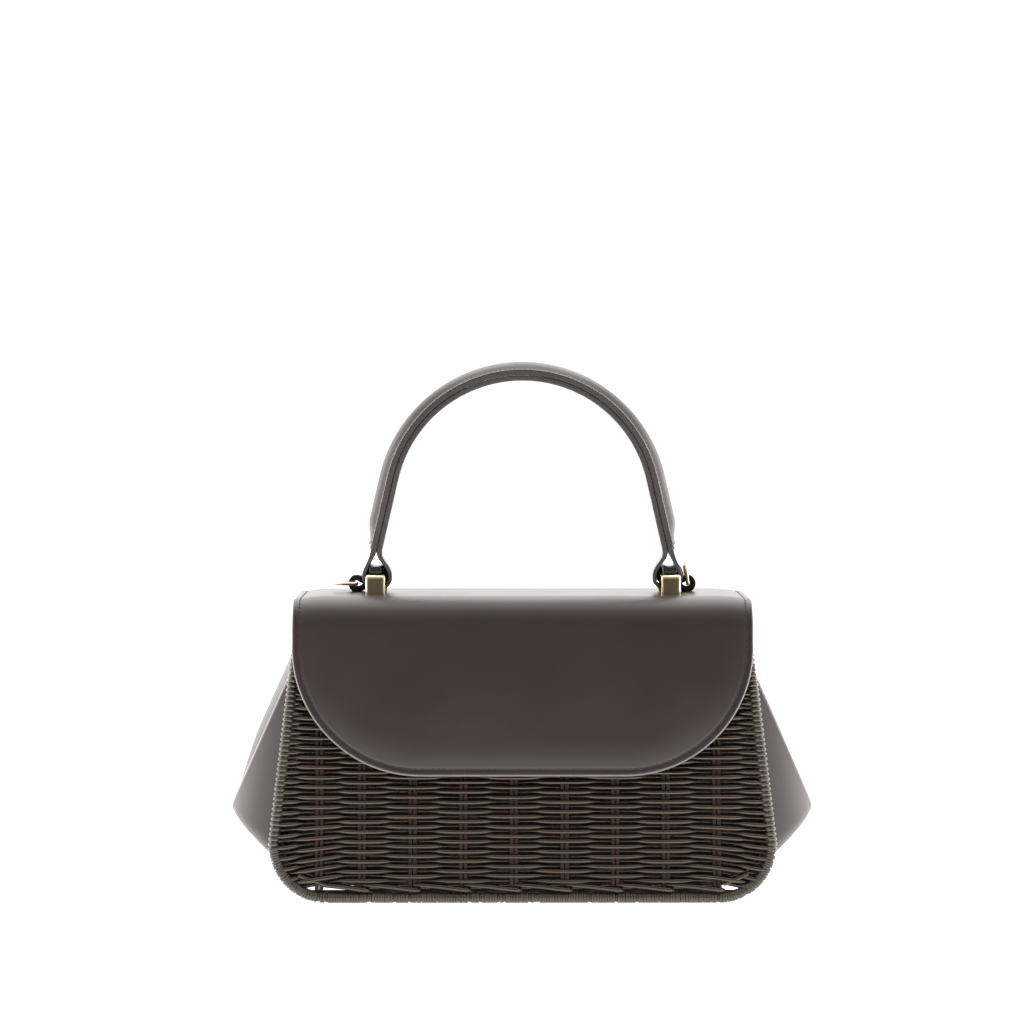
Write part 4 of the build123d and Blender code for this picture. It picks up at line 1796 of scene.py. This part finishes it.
# ------------------------------------------------------------------ staples, tabs and rings
@dataclass
class Fittings:
    """One side's gold staple, near-black tab and D-ring; the tab's near-black is painted shade."""

    side: Side
    body: str
    staple_w: float = 9.5 * MM
    staple_t: float = 1.8 * MM
    bend: float = 2.4 * MM
    tab_t: float = 2.3 * MM
    tab_more: float = 0.7 * MM
    wire: float = 0.9 * MM
    ring_half: float = 7.1 * MM
    ring_side: float = 4.0 * MM
    ring_angle: float = 0.0
    left_shift: float = 0.8 * MM
    pad_half: float = 3.9 * MM

    def __post_init__(self) -> None:
        """Read the places of the CAD pieces."""
        self.name = self.side.name.lower()
        self.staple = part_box(f"staple_{self.name}")
        low, high = self.staple
        self.centre_x = (low[0] + high[0]) / 2 + self.left_shift * (self.side is Side.LEFT)
        tab_low, tab_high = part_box(f"ring_tab_{self.name}")
        self.tab_y = (tab_low[1] + tab_high[1]) / 2
        self.tab_w = tab_high[1] - tab_low[1]
        self.bar = Vector(joint_place(f"ring_{self.name}_pivot"))

    def build(self, materials: Materials) -> list[Piece]:
        """Make the staple, the tab and the ring, and dress the plate under the leather.

        Args:
            materials: The built materials.

        Returns:
            The new pieces.
        """
        pieces = [self.staple_piece(materials), self.tab_piece(materials), self.ring_piece(materials)]
        dress(f"staple_plate_{self.name}", materials.gold)
        return pieces

    def staple_piece(self, materials: Materials) -> Piece:
        """A polished strip bent into a bridge.

        Args:
            materials: The built materials.

        Returns:
            The new piece.
        """
        low, high = self.staple
        t = self.staple_t / 2
        side_view = [
            (low[1] + t, low[2]), (low[1] + t, high[2] - t),
            (high[1] - t, high[2] - t), (high[1] - t, low[2]),
        ]
        line = evenly(rounded_line(side_view, [0, self.bend - t, self.bend - t, 0], False, 8), 0.6 * MM)
        stations = []
        for i, (y, z) in enumerate(line):
            a, b = line[max(0, i - 1)], line[min(len(line) - 1, i + 1)]
            along = Vector((0.0, b[0] - a[0], b[1] - a[1])).normalized()
            out = Vector((0.0, -along.z, along.y))
            stations.append((Vector((self.centre_x, y, z)), out, Vector((1.0, 0.0, 0.0))))
        cut = bar_section(t, self.staple_w / 2, 1.3 * MM, 0.4 * MM, 7)
        piece = swept(f"{self.name}_gold_staple", stations, lambda i: cut, [materials.gold])
        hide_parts(f"staple_{self.name}")
        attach(piece, "flap")
        return piece

    def tab_piece(self, materials: Materials) -> Piece:
        """A leather band round the bridge and round the ring's bar, near-black as painted shade.

        Args:
            materials: The built materials.

        Returns:
            The new piece.
        """
        bridge_z = self.staple[1][2] - self.staple_t / 2
        grip = self.staple_t / 2 + self.tab_t / 2 + self.tab_more + 0.02 * MM
        far = self.staple_w / 2 - 0.3 * MM
        bar_x = abs(self.bar.x) - abs(self.centre_x)
        ring_r = self.wire + 0.3 * MM + self.tab_t / 2 + 0.25 * MM
        drop = self.bar.z - bridge_z
        # Across from the bridge's middle and up from it, before the corners are relaxed.
        line = [
            (-far, -grip), (-far, grip + 0.5 * MM), (0.0, grip - 0.2 * MM), (far, grip + 0.5 * MM),
            (far + 1.4 * MM, -0.6 * MM), (bar_x - ring_r * 1.05, drop + ring_r * 0.3),
            (bar_x - ring_r * 0.4, drop + ring_r * 1.15), (bar_x + ring_r * 0.7, drop + ring_r * 1.1),
            (bar_x + ring_r * 1.3, drop), (bar_x + ring_r * 0.7, drop - ring_r * 1.1),
            (bar_x - ring_r * 0.4, drop - ring_r * 1.15), (bar_x - ring_r * 1.15, drop - ring_r * 0.75),
            (far - 1.0 * MM, -grip - 0.9 * MM),
        ]
        placed = [(self.side.value * (abs(self.centre_x) + x), bridge_z + z) for x, z in line]
        loop = relax(evenly(placed, 0.4 * MM, closed=True), 14)
        stations = planar_stations(loop, self.tab_y, True)
        pads = [
            smooth((self.pad_half - abs(x - self.centre_x)) / (1.0 * MM)) if z > bridge_z else 0.0
            for x, z in loop
        ]
        middle = (self.staple[0][1] + self.tab_y + self.tab_w / 2) / 2 + 1.0 * MM
        for pad, (place, _, _) in zip(pads, stations):
            place.y = lerp(self.tab_y, middle, pad)

        def cut(i: int) -> list[Point2]:
            """The tab's section, thicker over the bridge and wider on the strap's side.

            Args:
                i: Number of the station.

            Returns:
                The section's points.
            """
            near = smooth((abs(self.centre_x) + 7.5 * MM - abs(loop[i][0])) / (3 * MM))
            wide = lerp(self.tab_w / 2, self.tab_y + self.tab_w / 2 - middle, pads[i])
            thick = self.tab_t / 2 + lerp(0.35 * MM, self.tab_more, near)
            return bar_section(thick, wide, 1.0 * MM, 1.0 * MM, 4)

        # Near-black finish: painted shade, for the tab lies in shadow.
        piece = swept(f"{self.name}_ring_tab_leather", stations, cut, [materials.dark], closed=True)
        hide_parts(f"ring_tab_{self.name}")
        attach(piece, "flap")
        return piece

    def ring_piece(self, materials: Materials) -> Piece:
        """A wire D-ring, turned to its rest angle about its bar.

        Args:
            materials: The built materials.

        Returns:
            The new piece.
        """
        half, side = self.ring_half, self.ring_side
        corners = [(0.0, -half), (side, -half)]
        line = corners + arc((side, 0.0), half, -90.0, 90.0, 22)[1:] + [(0.0, half)]
        line = relax(evenly(line + [(0.0, -half)], 0.7 * MM)[:-1], 2)
        turn = math.radians(self.ring_angle)
        across = Vector((self.side.value * math.cos(turn), 0.0, math.sin(turn)))
        depth = Vector((0.0, 1.0, 0.0))
        up = across.cross(depth)
        stations = []
        count = len(line)
        for i, (a, b) in enumerate(line):
            p, n = line[i - 1], line[(i + 1) % count]
            along = (across * (n[0] - p[0]) + depth * (n[1] - p[1])).normalized()
            stations.append((self.bar + across * a + depth * b, along.cross(up), up))
        cut = arc((0.0, 0.0), self.wire, 0.0, 330.0, 11)
        piece = swept(f"{self.name}_d_ring_wire", stations, lambda i: cut, [materials.gold], closed=True)
        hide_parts(f"d_ring_{self.name}")
        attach(piece, self.body)
        return piece


# ------------------------------------------------------------------ what stays as the frame has it
@dataclass(frozen=True)
class KeptParts:
    """CAD pieces whose shape is right and which only need a finish, by the finish's name."""

    leather: tuple[str, ...] = ("base_panel", "magnet_patch")
    board: tuple[str, ...] = ("base_board",)
    cloth: tuple[str, ...] = ("lining",)
    steel: tuple[str, ...] = ("magnet_front", "magnet_flap")

    def dress_all(self, materials: Materials) -> None:
        """Give each kept node its material.

        Args:
            materials: The built materials.
        """
        for finish in self.__dataclass_fields__:
            for node in getattr(self, finish):
                dress(node, getattr(materials, finish))


# ------------------------------------------------------------------ studio
@dataclass
class Studio:
    """White surroundings, lamps, a pale floor and the camera."""

    eye: tuple[float, float, float] = (-0.0101, -1.5, 0.250)
    aim: tuple[float, float, float] = (-0.0050, 0.0, 0.1855)
    lens: float = 107.2
    sensor: float = 36.0
    behind_level: float = 2.5
    front_level: float = 0.08
    seen_level: float = 1.25
    floor_near: float = -0.60
    floor_far: float = 3.0
    floor_glow: float = 1.2

    def build(self) -> None:
        """Set up the light, the floor and the camera."""
        self.world()
        self.floor()
        self.lights()
        self.camera()

    def camera(self) -> None:
        """A long lens, almost square to the front and a little above the flap."""
        data = bpy.data.cameras.new("camera")
        data.lens = self.lens
        data.sensor_width = self.sensor
        data.clip_end = 20.0
        eye = new_object("camera", data)
        eye.location = self.eye
        look = Vector(self.aim) - eye.location
        eye.rotation_euler = look.to_track_quat("-Z", "Y").to_euler()
        bpy.context.scene.camera = eye

    def world(self) -> None:
        """Bright, even surroundings, dimmer towards the viewer."""
        world = bpy.data.worlds.new("studio")
        world.use_nodes = True
        bpy.context.scene.world = world
        t = TreeMaker(world.node_tree)
        way = t.node("ShaderNodeTexCoord").outputs["Generated"]
        split = t.node("ShaderNodeSeparateXYZ", _0=way)
        level = t.out(
            "ShaderNodeMapRange", Value=split.outputs["Y"],
            From_Min=-1.0, From_Max=0.8, To_Min=self.front_level, To_Max=self.behind_level,
        )
        seen = t.node("ShaderNodeLightPath").outputs["Is Camera Ray"]
        strength = t.out("ShaderNodeMix", {"data_type": "FLOAT"}, _0=seen, _2=level, _3=self.seen_level)
        light = world.node_tree.nodes["Background"]
        t.feed(light.inputs["Color"], WHITE)
        t.feed(light.inputs["Strength"], strength)
        view = bpy.context.scene.view_settings
        view.view_transform = "Standard"
        view.look = "None"

    def floor(self) -> None:
        """A plain pale sheet that glows a little, as a lit table does."""
        material, t, shader = new_material("pale_floor")
        looks = {
            "Base Color": (0.9, 0.9, 0.9, 1.0), "Roughness": 0.9,
            "Emission Color": WHITE, "Emission Strength": self.floor_glow,
        }
        for key, value in looks.items():
            t.feed(shader.inputs[key], value)
        near, far = self.floor_near, self.floor_far
        corners = [(-far, near, 0.0), (far, near, 0.0), (far, far, 0.0), (-far, far, 0.0)]
        sheet = mesh_piece("floor", corners, [[0, 1, 2, 3]], [material])

    def lights(self) -> None:
        """Broad lamps above and at both sides."""
        target = Vector((0.0, 0.0, 0.1))
        plan = {
            "top_lamp": ((0.0, 0.45, 1.2), 1.2, 10.0),
            "left_lamp": ((-1.2, 0.55, 0.35), 0.9, 5.0),
            "right_lamp": ((1.2, 0.55, 0.35), 0.9, 5.0),
        }
        for name, (place, size, power) in plan.items():
            data = bpy.data.lights.new(name, "AREA")
            data.size = size
            data.energy = power
            lamp = new_object(name, data)
            lamp.location = place
            lamp.rotation_euler = (target - Vector(place)).to_track_quat("-Z", "Y").to_euler()


def main() -> None:
    """Build the bag, sub-assembly by sub-assembly."""
    logging.basicConfig(level=logging.INFO, format="%(message)s")
    Studio().build()
    materials = Materials(Palette())
    repeats = Repeats()
    made: list[Piece] = []
    for face, seed in ((Face.FRONT, 11), (Face.BACK, 23)):
        made += WovenPanel(face, seed=seed).build(materials, repeats)
    made.append(Gusset(Side.LEFT, bulge=4.2 * MM).build(materials))
    made.append(Gusset(Side.RIGHT, bulge=1.2 * MM).build(materials))
    made += Flap().build(materials, repeats)
    made += Handle().build(materials, repeats)
    made += Fittings(Side.LEFT, "ring_left").build(materials)
    made += Fittings(Side.RIGHT, "ring_right", ring_angle=97.0).build(materials)
    KeptParts().dress_all(materials)
    for piece in made:
        piece.data.calc_loop_triangles()
        LOG.info("%s: %d triangles", piece.name, len(piece.data.loop_triangles))


if __name__ == "__main__":
    main()
